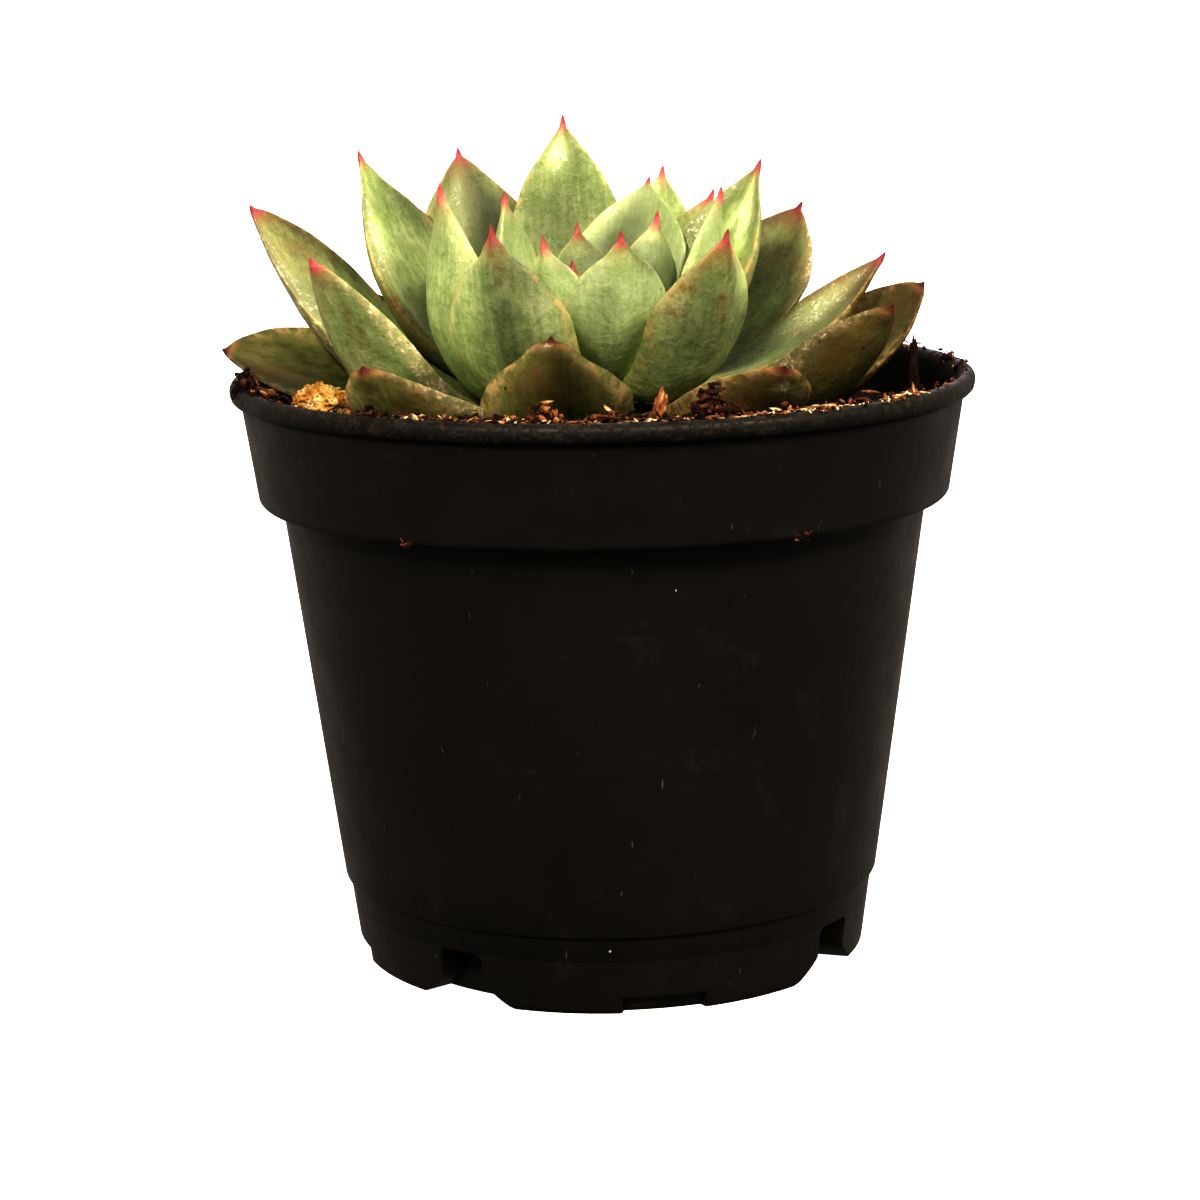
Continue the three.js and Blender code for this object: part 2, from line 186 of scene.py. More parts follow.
def makeCamera(s):
    down, lean = math.radians(s["down"]), math.radians(s["lean"])
    forward = Vector((0, math.cos(down), -math.sin(down)))
    right = Vector((1, 0, 0))
    up = right.cross(forward)
    across = right * math.cos(lean) + up * math.sin(lean)
    above = -right * math.sin(lean) + up * math.cos(lean)
    camera = bpy.data.objects.new("camera", bpy.data.cameras.new("camera"))
    scene.collection.objects.link(camera)
    turn = Matrix((across, above, -forward)).transposed().to_4x4()
    camera.matrix_world = Matrix.Translation(Vector(s["place"]) * mm) @ turn
    camera.data.sensor_width = s["sensor"]
    camera.data.lens = s["sensor"] * s["focal"] / s["frame"]
    camera.data.clip_start = 0.01
    scene.camera = camera


makeCamera(cameraSet)
print("camera placed")

# light: three warm lamps in front, above the camera's left and right, and a weak cool one behind

# name, place and size (metres), power (watts), colour
lights = [
    ("leftLamp", (-0.307, -0.76, 0.664), 0.14, 6.2, "#fff0d6"),
    ("rightLamp", (0.587, -0.492, 0.733), 0.14, 5.4, "#fff0d6"),
    ("frontLamp", (0.346, -0.742, 0.664), 0.14, 3.0, "#fff0d6"),
    ("backLamp", (0.1, 0.8, 0.65), 0.5, 2.0, "#f4f8ff"),
]
# brightness of the surroundings against height, from straight down (0) to straight up (1), the horizon at 0.5
worldSet = [(0.0, "#5b554d"), (0.25, "#716a60"), (0.4, "#b5ab9e"), (0.5, "#b5ab9e"), (0.6, "#a8a198"),
            (1.0, "#aeaaa3")]
lampAim = (0, 0, 0.09)


def makeLights():
    for name, place, size, power, colour in lights:
        lamp = bpy.data.objects.new(name, bpy.data.lights.new(name, "AREA"))
        lamp.data.shape = "DISK"
        lamp.data.size = size
        lamp.data.energy = power
        lamp.data.color = hexColour(colour)[:3]
        lamp.location = place
        lamp.rotation_euler = (Vector(lampAim) - Vector(place)).to_track_quat("-Z", "Y").to_euler()
        scene.collection.objects.link(lamp)


def makeWorld(s):
    # plain walls and ceiling, darker low down
    world = bpy.data.worlds.new("studio")
    world.use_nodes = True
    tree = world.node_tree
    axes = addNode(tree, "SeparateXYZ", {}, {0: addNode(tree, "TexCoord").outputs["Generated"]})
    height = addNode(tree, "MapRange", {"From Min": -1.0, "From Max": 1.0}, {0: axes.outputs["Z"]})
    shade = addNode(tree, "ValToRGB", {"ramp": s}, {0: height})
    linkTo(tree, tree.nodes["Background"], {"Color": shade})
    scene.world = world


makeLights()
makeWorld(worldSet)

floorSet = {"half": 8.0, "glow": 0.86, "wallHigh": 4.0}


def makeFloor(s):
    # Light table, opal acrylic: lit from below, so it stays white with a faint shadow under the pot
    material, tree, bsdf, place = startMaterial("opal acrylic light table", {
        "Roughness": 0.85, "IOR": 1.45, "Specular IOR Level": 0.1, "Emission Strength": s["glow"]})
    grain = addNode(tree, "TexNoise", {"Scale": perMm(40), "Detail": 3}, {"Vector": place})
    tint = addNode(tree, "ValToRGB", {"ramp": [(0.3, "#f8f8f7"), (0.7, "#fdfdfc")]}, {0: grain})
    linkTo(tree, bsdf, {"Base Color": tint, "Emission Color": tint})
    h = s["half"]
    points = [(x, y, z) for z in (0.0, s["wallHigh"]) for x, y in ((-h, -h), (h, -h), (h, h), (-h, h))]
    walls = [(k, k + 4, (k + 1) % 4 + 4, (k + 1) % 4) for k in range(4)]
    # the far walls are the same white sheet turned up, so low views show no horizon
    for name, faces in (("floor", [(0, 1, 2, 3)]), ("farWalls", walls)):
        mesh = bpy.data.meshes.new(name)
        mesh.from_pydata(points if name == "farWalls" else points[:4], [], faces)
        mesh.materials.append(material)
        sheet = bpy.data.objects.new(name, mesh)
        scene.collection.objects.link(sheet)
        sheet.visible_diffuse = sheet.visible_glossy = False  # its white doesn't spill onto the black pot
        sheet.visible_shadow = name == "floor"  # the walls let the soft light of the room in


makeFloor(floorSet)
print("lights and floor placed")

# pot: one thin moulding, with rolled lip, collar, stepped body and an eight-lobed foot

potSet = {
    "lipR": 52.5, "lipTop": 83.0, "lipHigh": 2.6, "collarTop": (50.9, 79.8), "collarBottom": (49.0, 65.8),
    "bodyTopR": 45.7, "step": 11.4, "bodyBottomR": 38.6, "skirtTopR": 38.0, "footR": 36.5, "wall": 1.0,
    "floorZ": 7.6, "floorThick": 1.4, "pitchColumns": 80,
    "slots": 8, "firstSlot": 11.0, "tallDepth": 4.4, "lowDepth": 1.3, "lowHigh": 2.3, "tallHalf": 4.6,
    "lowHalf": 8.6, "corner": 0.8, "flare": 6.8, "flareHigh": 3.3, "archHigh": 1.2, "archIn": 1.6,
    "bevel": 0.3, "bevelHigh": 0.5, "sharpAngle": 38,
}

# dust: gap (mm), share left out, least and greatest radius (shares of the gap)
# noise: size (mm), detail, roughness; dirt: height where the soil on the lip starts and where it is full
plasticSet = {
    "dust": (4.6, 0.9, 0.018, 0.045), "haze": 0.05, "dirtFrom": 79.6, "dirtTo": 83.0, "stretch": 0.12,
    "noise": {"cloud": (28, 4, 0.6), "haze": (9, 6, 0.7), "scratch": (0.55, 1, 0.5), "where": (3.6, 1, 0.5),
              "crust": (1.3, 6, 0.75), "peel": (1.6, 2, 0.5)},
}


def blackPlastic(s):
    # Moulded polypropylene, black: even satin with a faint orange peel, pale dust, a few scratches, soil on the lip
    material, tree, bsdf, place = startMaterial("moulded black polypropylene", {
        "IOR": 1.49, "Metallic": 0.0, "Specular IOR Level": 0.28})
    tall = addNode(tree, "VectorMath", {"operation": "MULTIPLY", 1: (1.0, 1.0, s["stretch"])}, {0: place})
    v = {"spot": spotsOf(tree, place, *s["dust"], curve="LINEAR"),
         "high": addNode(tree, "SeparateXYZ", {}, {0: place}).outputs["Z"]}
    for key, (size, detail, rough) in s["noise"].items():
        v[key] = addNode(tree, "TexNoise", {"Scale": perMm(size), "Detail": detail, "Roughness": rough},
                         {"Vector": tall if key == "scratch" else place})
    v["dirt"] = maskOf(tree, v, [("high", s["dirtFrom"] * mm, s["dirtTo"] * mm, 0, 1), ("crust", 0.5, 0.62, 0, 1),
                                 ("haze", 0.4, 0.6, 0.15, 0.9)], curve="LINEAR")
    face = addNode(tree, "ValToRGB", {"ramp": [(0.3, "#100f0f"), (0.75, "#191817")]}, {0: v["cloud"]})
    face = addLayers(tree, v, face, [
        ("#8d8478", ("haze", 0.58, 0.8, 0, s["haze"])),
        ("#b9b2a6", ("spot", 0, 1, 0, 1)),  # single grains of dust
        ("#9a9184", ("scratch", 0.71, 0.77, 0, 1), ("where", 0.62, 0.7, 0, 1), ("haze", 0.3, 0.7, 0.1, 0.5)),
        ("#4f4238", ("dirt", 0, 1, 0, 1)),  # soil smeared on the lip and just below it
    ], "LINEAR")
    rough = maskOf(tree, v, [("haze", 0.3, 0.7, 0.36, 0.52), ("dirt", 0, 1, 0, 1)], "ADD", "LINEAR")
    soft = addNode(tree, "Bump", {"Strength": 0.12, "Distance": 0.0002}, {"Height": v["peel"]})
    caked = addNode(tree, "Bump", {"Strength": 0.6, "Distance": 0.0004}, {"Height": v["dirt"], "Normal": soft})
    linkTo(tree, bsdf, {"Base Color": face, "Roughness": rough, "Normal": caked})
    return material


def openHalf(s, z):
    # half width of a tall slot at a height, in degrees: it opens out below and is rounded above
    low = max(0.0, 1 - z / s["flareHigh"])
    high = min(1.0, max(0.0, (z - s["floorZ"] + s["archHigh"]) / s["archHigh"]))
    return s["tallHalf"] + s["flare"] * low ** 1.25 - s["archIn"] * (1 - math.sqrt(1 - high * high))


def footRing(s, z, inner=False):
    # one level of the foot: the columns keep their place beside each slot's edges as the slot widens
    pitch, corner = 360 / s["slots"], s["corner"]
    angles, radii = [], []
    for i in range(s["slots"]):
        tall = i % 2 == 1
        half = s["tallHalf"] if tall else s["lowHalf"]
        wide = openHalf(s, z) if tall else half
        for d in footOffsets(s, half):
            off = abs(d)
            if off <= half:
                turn = off * wide / half
            elif off <= half + corner:
                turn = wide + off - half
            else:
                far = pitch / 2 - half - corner
                turn = wide + corner + (off - half - corner) / far * (pitch / 2 - wide - corner)
            depth = s["tallDepth"] if tall else s["lowDepth"]
            if not tall and not inner:
                depth *= float(smoothStep((s["lowHigh"] + 0.12 - z) / 0.24))  # low slots end above in a small step
            step = 1 - float(smoothStep((off - half) / corner))
            slope = between((s["footR"], s["skirtTopR"]), (0 if inner else z) / s["step"])
            edge = s["bevel"] * float(smoothStep((s["bevelHigh"] - z) / s["bevelHigh"]))
            angles.append(s["firstSlot"] + i * pitch + math.copysign(turn, d))
            radii.append(slope - depth * step - edge - (s["wall"] + 0.1 if inner else 0))
    return np.radians(angles), np.array(radii)


def footOffsets(s, half):
    # offsets of the columns from the middle of a slot, in degrees, close together at its edges
    pitch, corner = 360 / s["slots"], s["corner"]
    n = s["pitchColumns"] // 2
    edge = [half + corner * k / 5 for k in range(6)]
    inside = [half * k / (n // 3) for k in range(1, n // 3)]
    rest = n - len(edge) - len(inside)
    outside = [half + corner + (pitch / 2 - half - corner) * k / rest for k in range(1, rest)]
    one = inside + edge + outside
    return [-pitch / 2] + [-v for v in one[::-1]] + [0.0] + one


def lipRound(s):
    # the rolled lip, from its lower outer edge over the top and down inside
    r, top, high = s["lipR"], s["lipTop"], s["lipHigh"]
    return [(r - 1.1, top - high - 0.15), (r - 0.5, top - high + 0.02), (r - 0.2, top - high + 0.35),
            (r - 0.05, top - high + 0.9), (r, top - 1.2), (r - 0.08, top - 0.75), (r - 0.3, top - 0.38),
            (r - 0.7, top - 0.1), (r - 1.2, top), (r - 1.65, top - 0.08), (r - 2.05, top - 0.35),
            (r - 2.35, top - 0.8), (r - 2.5, top - 1.4)]


def makePot(s):
    wall, floorZ, step, skirtR = s["wall"], s["floorZ"], s["step"], s["skirtTopR"]
    floorTop, lowR, highR = floorZ + s["floorThick"], s["bodyBottomR"], s["bodyTopR"]
    floorR = s["footR"] + (skirtR - s["footR"]) * floorZ / step
    (topR, topZ), (bottomR, bottomZ) = s["collarTop"], s["collarBottom"]
    plain = footRing(s, s["flareHigh"])[0]
    n = len(plain)

    def turned(r, z):
        return plain, np.full(n, r), z

    rows = [turned(0.02, floorZ), turned(20.0, floorZ)]
    inner = footRing(s, 0.0, True)
    rows += [(inner[0], inner[1] - 0.02, floorZ)]
    rows += [(inner[0], inner[1], z) for z in (floorZ - 0.1, 4.0, 0.3, 0.0)]
    levels = [0.0, 0.08, 0.2, 0.4, 0.7, 1.0, 1.4, 1.8, 2.1, 2.2, 2.3, 2.4, 2.5, 2.8, 3.3, 4.0, 5.2, 6.4]
    levels += [floorZ - s["archHigh"] * v for v in (0.75, 0.5, 0.3, 0.15, 0.05)]
    rows += [(*footRing(s, z), z) for z in levels]
    rows += [turned(floorR - 0.01, floorZ), turned(floorR, floorZ + 0.02)]
    profile = [(skirtR - 0.1, step - 0.7), (skirtR, step - 0.25), (skirtR + 0.12, step - 0.12),
               (lowR - 0.22, step - 0.06), (lowR - 0.06, step + 0.02), (lowR, step + 0.2)]
    for k in range(1, 12):
        t = k / 12
        profile.append((between((lowR, highR), t), step + 0.2 + (bottomZ - 0.3 - step - 0.2) * t))
    profile += [(highR, bottomZ - 0.3), (highR + 0.15, bottomZ - 0.05), (highR + 0.5, bottomZ)]
    for k in range(7):
        t = math.radians(-90 + 90 * k / 6)
        profile.append((bottomR - 1.1 + 1.1 * math.cos(t), bottomZ + 1.1 + 1.1 * math.sin(t)))
    for k in range(1, 5):
        profile.append((bottomR + (topR - bottomR) * k / 4, bottomZ + 1.1 + (topZ - bottomZ - 1.1) * k / 4))
    profile += lipRound(s)
    profile += [(topR - wall - 0.1, topZ - 1.2), (bottomR - wall, bottomZ + wall + 0.8),
                (bottomR - wall - 0.7, bottomZ + wall), (highR - wall + 0.2, bottomZ + wall - 0.3),
                (highR - wall - 0.1, bottomZ - 1), (lowR - wall, step), (skirtR - wall - 0.4, floorTop),
                (20.0, floorTop), (0.02, floorTop)]
    rows += [turned(r, z) for r, z in profile]
    points = []
    for a, r, z in rows:
        points += [(x * mm, y * mm, z * mm) for x, y in zip(r * np.cos(a), r * np.sin(a))]
    pot = makePiece("pot_moulding", points, gridFaces(len(rows), n, True), blackPlastic(plasticSet))
    pot.data.set_sharp_from_angle(angle=math.radians(s["sharpAngle"]))
    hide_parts("pot")


makePot(potSet)
print("pot made")

# leaves: the same list as the solids, with how far each has turned brown and its lightness as last columns; the
# lightness is partly each leaf's own tone and partly painted light and shade, darker for leaves in shade, such as leaf
# 17, and lighter for lit ones

# thickness (mm), hollow across, where a leaf is widest, two powers for how it closes to the tip, bend, spine (mm)
formColumns = ("thick", "cup", "widest", "sharp", "flank", "bend", "spine")
leafForms = {
    "heart": (4.6, 0.22, 0.61, 0.95, 1.5, 0.73, 2),
    "middle": (5.2, 0.22, 0.65, 0.95, 1.5, 0.76, 2.2),
    "outer": (5.4, 0.25, 0.7, 0.85, 1.5, 0.78, 1.9),
    "worn": (5.6, 0.25, 0.71, 0.68, 1.55, 0.78, 1.3),
    "old": (6.2, 0.25, 0.74, 0.62, 1.7, 0.78, 0.9),
}
# age, direction (degrees), reach and height of the tip, width, slope at the stem and at the tip (degrees),
# roll (degrees), height on the stem, brown share, lightness
leafTable = [
    ("heart", 115, 7.6, 103.4, 9.5, 0, 84, -3, 88, 0.0, 0.94),
    ("heart", 320, 10.5, 105.9, 12, 0, 80, -2, 87, 0.0, 1.1),
    ("heart", 235, 13.6, 103.1, 11, 0, 82, 3, 86, 0.0, 1.15),
    ("heart", 164, 13.8, 108.2, 13, 0, 90, -6, 85.5, 0.0, 1.18),
    ("heart", 64, 16.9, 109.1, 16.5, 0, 58, 6, 84.5, 0.05, 1.01),
    ("heart", 351, 17.2, 108.8, 13, 1, 80, -6, 84.5, 0.12, 1.32),
    ("heart", 278, 20.8, 104.4, 14.5, 0, 70, 8, 84, 0.0, 1.15),
    ("middle", 208, 24.5, 110.6, 15, -14, 88, 6, 82.5, 0.05, 1.58),
    ("middle", 102, 24.4, 117.8, 17, 3, 88, -8, 82.5, 0.08, 1.1),
    ("middle", 12, 23.5, 112, 17, -3, 69, 22, 82.5, 0.15, 1.15),
    ("middle", 306, 29, 104.7, 16.5, 0, 72, 0, 82, 0.3, 1.08),
    ("middle", 166, 35.2, 114, 18, -2, 72, -20, 81.5, 0.2, 1.05),
    ("middle", 242, 30.6, 106.1, 17.5, -4, 82, 12, 81.5, 0.16, 1.06),
    ("middle", 71, 29.7, 109.9, 16, 0, 73, 1, 81, 0.2, 1.14),
    ("middle", 47, 24.7, 107, 17, 0, 60, 3, 80.5, 0.15, 1.4),
    ("outer", 123, 38.6, 112.8, 19, 0, 75, -15, 80, 0.4, 0.98),
    ("outer", 38, 38.2, 104.5, 18, -1, 54, 20, 80, 0.64, 0.56),
    ("outer", 8, 41.1, 98.5, 14.5, -1, 51, 10, 80, 0.8, 0.95),
    ("outer", 90, 41, 101, 17, -2, 60, 0, 79.5, 0.5, 0.85),
    ("worn", 179, 49, 107.1, 17.5, -8, 57, -23, 79, 0.65, 1.1),
    ("worn", 218, 48.3, 102.4, 16, -12, 62, 5, 79, 0.4, 1.32),
    ("outer", 142, 41, 108.6, 17, 0, 62, -6, 79, 0.9, 0.75),
    ("old", 62, 46, 96, 17, -2, 50, 0, 78.5, 0.75, 0.8),
    ("old", 153, 42, 94, 16, -3, 52, 0, 78.5, 0.8, 0.8),
    ("old", 5, 46.2, 94.3, 17, -4, 51, 25, 78, 0.8, 1.05),
    ("old", 28, 45, 90, 16, -2, 42, 0, 78, 0.85, 0.8),
    ("old", 112, 47, 94, 17, -3, 48, 0, 78, 0.8, 0.85),
    ("old", 183, 53.4, 87.3, 18, -2, 20, -27, 77.5, 0.45, 1.05),
    ("old", 260, 37.9, 92.4, 20, -3, 96, 9, 77.5, 0.3, 0.9),
    ("old", 333, 44.1, 93.8, 17, -2, 54, -18, 77.5, 0.6, 0.8),
    ("old", 232, 50.2, 89.3, 18, -2, 62, 10, 77, 0.45, 1.3),
    ("old", 298, 49.5, 88.8, 17.5, -3, 45, -10, 77, 0.66, 1.08),
]
# marks on single leaves: place along and across the leaf (shares), how far they spread that way, strength
# rust as named; shine is a painted highlight with glints; deep is painted shade, softly darker, or painted light,
# paler, where it is negative; cast is painted shadow, the same with a crisp border
leafMarks = {
    1: {"deep_green_and_painted_shade": [(0.6, 0, 0.3, 3, 0.6), (0.8, 0.5, 0.14, 0.8, -0.4), (0.6, -1, 0.12, 0.4, 0.6)]},
    2: {"deep_green_and_painted_shade": [(0.5, 0, 0.24, 3, 1.1), (0.88, -0.4, 0.08, 0.8, -0.45), (0.65, -1, 0.14, 0.3, 0.4)]},
    3: {"deep_green_and_painted_shade": [(0.5, -0.6, 0.25, 0.7, 0.75), (0.85, 1, 0.2, 0.4, 0.3), (0.82, -0.8, 0.12, 0.6, -0.6),
        (0.9, 0.5, 0.07, 1, -0.3)]},
    4: {"deep_green_and_painted_shade": [(0.35, 0.8, 0.25, 1, 0.6), (0.9, 0.4, 0.07, 1, -0.5)], "shine": [(0.8, 0.9, 0.12, 0.3, 0.5)]},
    5: {"deep_green_and_painted_shade": [(0.5, 0.3, 0.16, 0.4, 1.4), (0.7, 0.1, 0.14, 0.4, 0.7), (0.72, 0.95, 0.2, 0.2, -0.4)],
        "shine": [(0.82, 0.85, 0.14, 0.25, 0.8)]},
    6: {"deep_green_and_painted_shade": [(0.35, -0.4, 0.2, 0.4, 0.8)], "shine": [(0.6, 0.3, 0.25, 0.3, 0.9)]},
    7: {"deep_green_and_painted_shade": [(0.2, 0.85, 0.3, 0.55, -1.7), (0.65, -0.35, 0.12, 0.3, 0.4), (0.82, 0.95, 0.1, 0.3, 0.5),
        (0.38, -0.4, 0.1, 0.6, 0.2), (0.9, -0.4, 0.08, 1, -0.3), (0.38, 0.8, 0.1, 0.5, -0.4)]},
    8: {"deep_green_and_painted_shade": [(0.52, -0.55, 0.14, 0.35, -0.3), (0.2, 0.2, 0.26, 1.2, 0.55), (0.68, -0.4, 0.22, 0.55, -0.35),
        (0.38, 0.95, 0.12, 0.25, -0.6)], "painted_crisp_shadow": [(0.16, 0.6, 0.16, 0.9, 0.5)],
        "shine": [(0.82, 0.8, 0.1, 0.2, 0.6)]},
    9: {"deep_green_and_painted_shade": [(0.58, 0.2, 0.2, 0.6, 0.35), (0.85, -0.9, 0.15, 0.3, -0.45), (0.88, 0.4, 0.1, 0.6, -0.7)],
        "rust": [(0.6, -0.6, 0.05, 0.15, 0.4)], "shine": [(0.88, 0.3, 0.05, 0.35, 1)]},
    10: {"deep_green_and_painted_shade": [(0.74, -0.2, 0.22, 0.45, -1.15), (0.6, 0.95, 0.1, 0.25, 0.4)], "shine": [(0.7, 0.85, 0.22, 0.2, 1),
        (0.8, -0.4, 0.12, 0.3, 0.6)]},
    11: {"deep_green_and_painted_shade": [(0.64, -0.3, 0.12, 0.45, 0.85), (0.84, 0.85, 0.14, 0.4, -1), (0.2, 0, 0.22, 3, -0.4),
        (0.32, 0.4, 0.12, 0.7, -0.4), (0.6, 1, 0.1, 0.25, 0.4), (0.8, -1, 0.12, 0.25, -0.3)],
        "rust": [(0.78, -0.85, 0.2, 0.3, 0.8), (0.72, 0.1, 0.07, 0.22, 1), (0.86, 0, 0.05, 0.7, 0.5),
        (0.55, 0.65, 0.03, 0.1, 0.9)]},
    12: {"deep_green_and_painted_shade": [(0.42, 0.35, 0.16, 0.7, 0.8), (0.78, -0.85, 0.14, 0.3, 0.5), (0.78, 0.45, 0.12, 0.45, -0.7),
        (0.93, 0, 0.06, 2, -0.6)], "painted_crisp_shadow": [(0.32, 0.2, 0.24, 0.95, 0.75)], "rust": [(0.5, 0.98, 0.12, 0.16, 1)],
        "shine": [(0.74, 0.7, 0.12, 0.2, 1)]},
    13: {"deep_green_and_painted_shade": [(0.72, 0.2, 0.18, 0.4, 0.55), (0.45, -0.2, 0.1, 0.6, -0.3), (0.88, -0.7, 0.08, 0.5, -0.3),
        (0.56, -0.8, 0.32, 0.5, -0.8), (0.86, 0.8, 0.1, 0.4, 0.5), (0.24, 0.4, 0.14, 0.8, 0.5)],
        "painted_crisp_shadow": [(0.62, 0.1, 0.15, 0.22, 0.45)], "rust": [(0.5, -0.55, 0.03, 0.1, 0.8), (0.86, 0.3, 0.07, 0.5, 0.7),
        (0.93, 0, 0.05, 0.5, 0.7)]},
    14: {"deep_green_and_painted_shade": [(0.88, 0, 0.15, 2, -0.5)]},
    16: {"deep_green_and_painted_shade": [(0.66, -0.35, 0.22, 0.4, 1.8), (0.84, 0.2, 0.1, 0.7, -0.2)],
        "shine": [(0.88, 0.3, 0.05, 0.25, 0.4)]},
    17: {"deep_green_and_painted_shade": [(0.3, -0.6, 0.2, 1, 1.2), (0.64, 0.1, 0.16, 0.5, 0.6), (0.84, -0.9, 0.16, 0.3, -0.8),
        (0.88, 0, 0.06, 0.6, -0.45), (0.6, -1, 0.12, 0.25, 0.3)], "rust": [(0.84, -0.9, 0.18, 0.2, 0.7),
        (0.93, 0, 0.04, 1, 0.5)], "shine": [(0.8, -0.95, 0.15, 0.12, 0.7)]},
    18: {"deep_green_and_painted_shade": [(0.36, 0.4, 0.2, 0.75, 1.5), (0.6, -0.6, 0.12, 0.4, 0.4), (0.8, 0.6, 0.12, 0.5, -0.5),
        (0.47, -0.6, 0.1, 0.5, -0.4), (0.6, 1, 0.12, 0.3, 0.4), (0.3, 0, 0.1, 0.4, 0.5)],
        "rust": [(0.85, -0.5, 0.12, 0.5, 0.7)], "shine": [(0.72, 0.3, 0.2, 0.4, 1)]},
    20: {"deep_green_and_painted_shade": [(0.78, -0.95, 0.18, 0.3, 0.9), (0.86, 0.3, 0.12, 0.5, -0.5), (0.2, 0, 0.14, 3, 0.7),
        (0.38, -0.2, 0.14, 0.6, 0.35), (0.6, -1, 0.08, 0.25, -0.4)], "rust": [(0.86, 0.8, 0.1, 0.3, 0.5)],
        "shine": [(0.75, 0.8, 0.25, 0.3, 1)]},
    21: {"deep_green_and_painted_shade": [(0.86, -0.4, 0.14, 0.7, -0.6), (0.48, 0.9, 0.15, 0.4, 1.1)], "painted_crisp_shadow": [(0.52, 0.9, 0.14, 0.4, 0.5)],
        "rust": [(0.8, 0.4, 0.1, 0.3, 0.6), (0.85, -0.7, 0.12, 0.3, 0.6)], "shine": [(0.66, 0.95, 0.3, 0.1, 0.7)]},
    22: {"deep_green_and_painted_shade": [(0.55, 0.7, 0.16, 0.5, 0.5)]},
    28: {"deep_green_and_painted_shade": [(0.78, -0.95, 0.16, 0.4, -0.8), (0.88, -0.2, 0.08, 0.6, -0.3), (0.72, 0.7, 0.25, 0.8, 0.8)],
        "rust": [(0.85, 0.3, 0.14, 0.5, 0.6)]},
    29: {"deep_green_and_painted_shade": [(0.82, 0.15, 0.16, 0.42, 1.1), (0.8, -0.95, 0.2, 0.35, -0.7)],
        "painted_crisp_shadow": [(0.8, 0.4, 0.15, 0.42, 0.6)], "rust": [(0.88, 0, 0.12, 0.9, 0.7)],
        "shine": [(0.975, -0.2, 0.015, 0.4, 1)]},
    30: {"deep_green_and_painted_shade": [(0.9, 0.1, 0.07, 0.9, -0.4), (0.45, -0.1, 0.1, 0.6, -0.7), (0.6, 0.2, 0.14, 0.9, 0.8)],
        "rust": [(0.8, -0.5, 0.2, 0.5, 0.7)], "shine": [(0.7, -0.95, 0.25, 0.1, 0.45)]},
    31: {"deep_green_and_painted_shade": [(0.7, -0.8, 0.3, 0.6, -1.1), (0.9, 0.6, 0.08, 0.5, 0.2)], "rust": [(0.85, 0.6, 0.12, 0.5, 0.4)],
        "shine": [(0.55, 0.97, 0.35, 0.08, 0.5)]},
    32: {"deep_green_and_painted_shade": [(0.6, 0.2, 0.1, 0.5, 0.6), (0.78, -0.95, 0.14, 0.3, -0.7), (0.6, 0.5, 0.07, 0.35, 0.6),
        (0.45, 0.9, 0.1, 0.4, -0.6)], "rust": [(0.75, -0.5, 0.25, 0.6, 0.8)], "shine": [(0.93, 0.2, 0.02, 0.2, 1)]},
}
# how crisp the edges of the painted shade marks are: deep soft, cast crisp like a shadow
fallOff = {"deep_green_and_painted_shade": 1.5, "painted_crisp_shadow": 5.0}
budTable = [(20, 4.6, 99.5, 6.5), (160, 4.2, 98.6, 6), (270, 3.6, 97.4, 5.5), (75, 2.2, 96, 4.2), (215, 1.8, 95, 4)]
leafMesh = {"along": 72, "around": 52, "uneven": 0.26, "unevenSize": 6.5, "fine": 0.07, "fineSize": 1.7}
hollows = {1: 0.2, 2: 0.2, 3: 0.3, 4: 0.2, 7: 0.26, 12: 0.12, 13: 0.28, 29: 0.2}  # shoulders drawn in below the spine
# how much shorter than usual the red of the tip is, by age and for some single leaves
bluntness = {"heart": 1.15, "middle": 1.0, "outer": 1.15, "worn": 1.3, "old": 2.6,
             5: 2.0, 9: 1.3, 10: 1.3, 12: 1.5, 14: 1.4}
# shares and sizes (mm) that all leaves have in common; heartThick: at most, and share of the width;
# shoulderAt: where and how wide; stemR: where leaves start, less by a share of how far they start above a height
bladeSet = {"heartThick": (4.8, 0.36), "baseHalf": 0.36, "fullness": 1.4, "shoulder": 0.06, "shoulderAt": (0.8, 0.16),
            "spineHalf": 0.62, "spinePower": 0.7, "baseBody": 0.42, "tipThin": 0.6, "keel": 0.4, "rimPower": 2.4,
            "above": 0.28, "below": 0.72, "crowd": 0.18, "stemR": (5.7, 0.12, 76), "budStemR": 1.2}


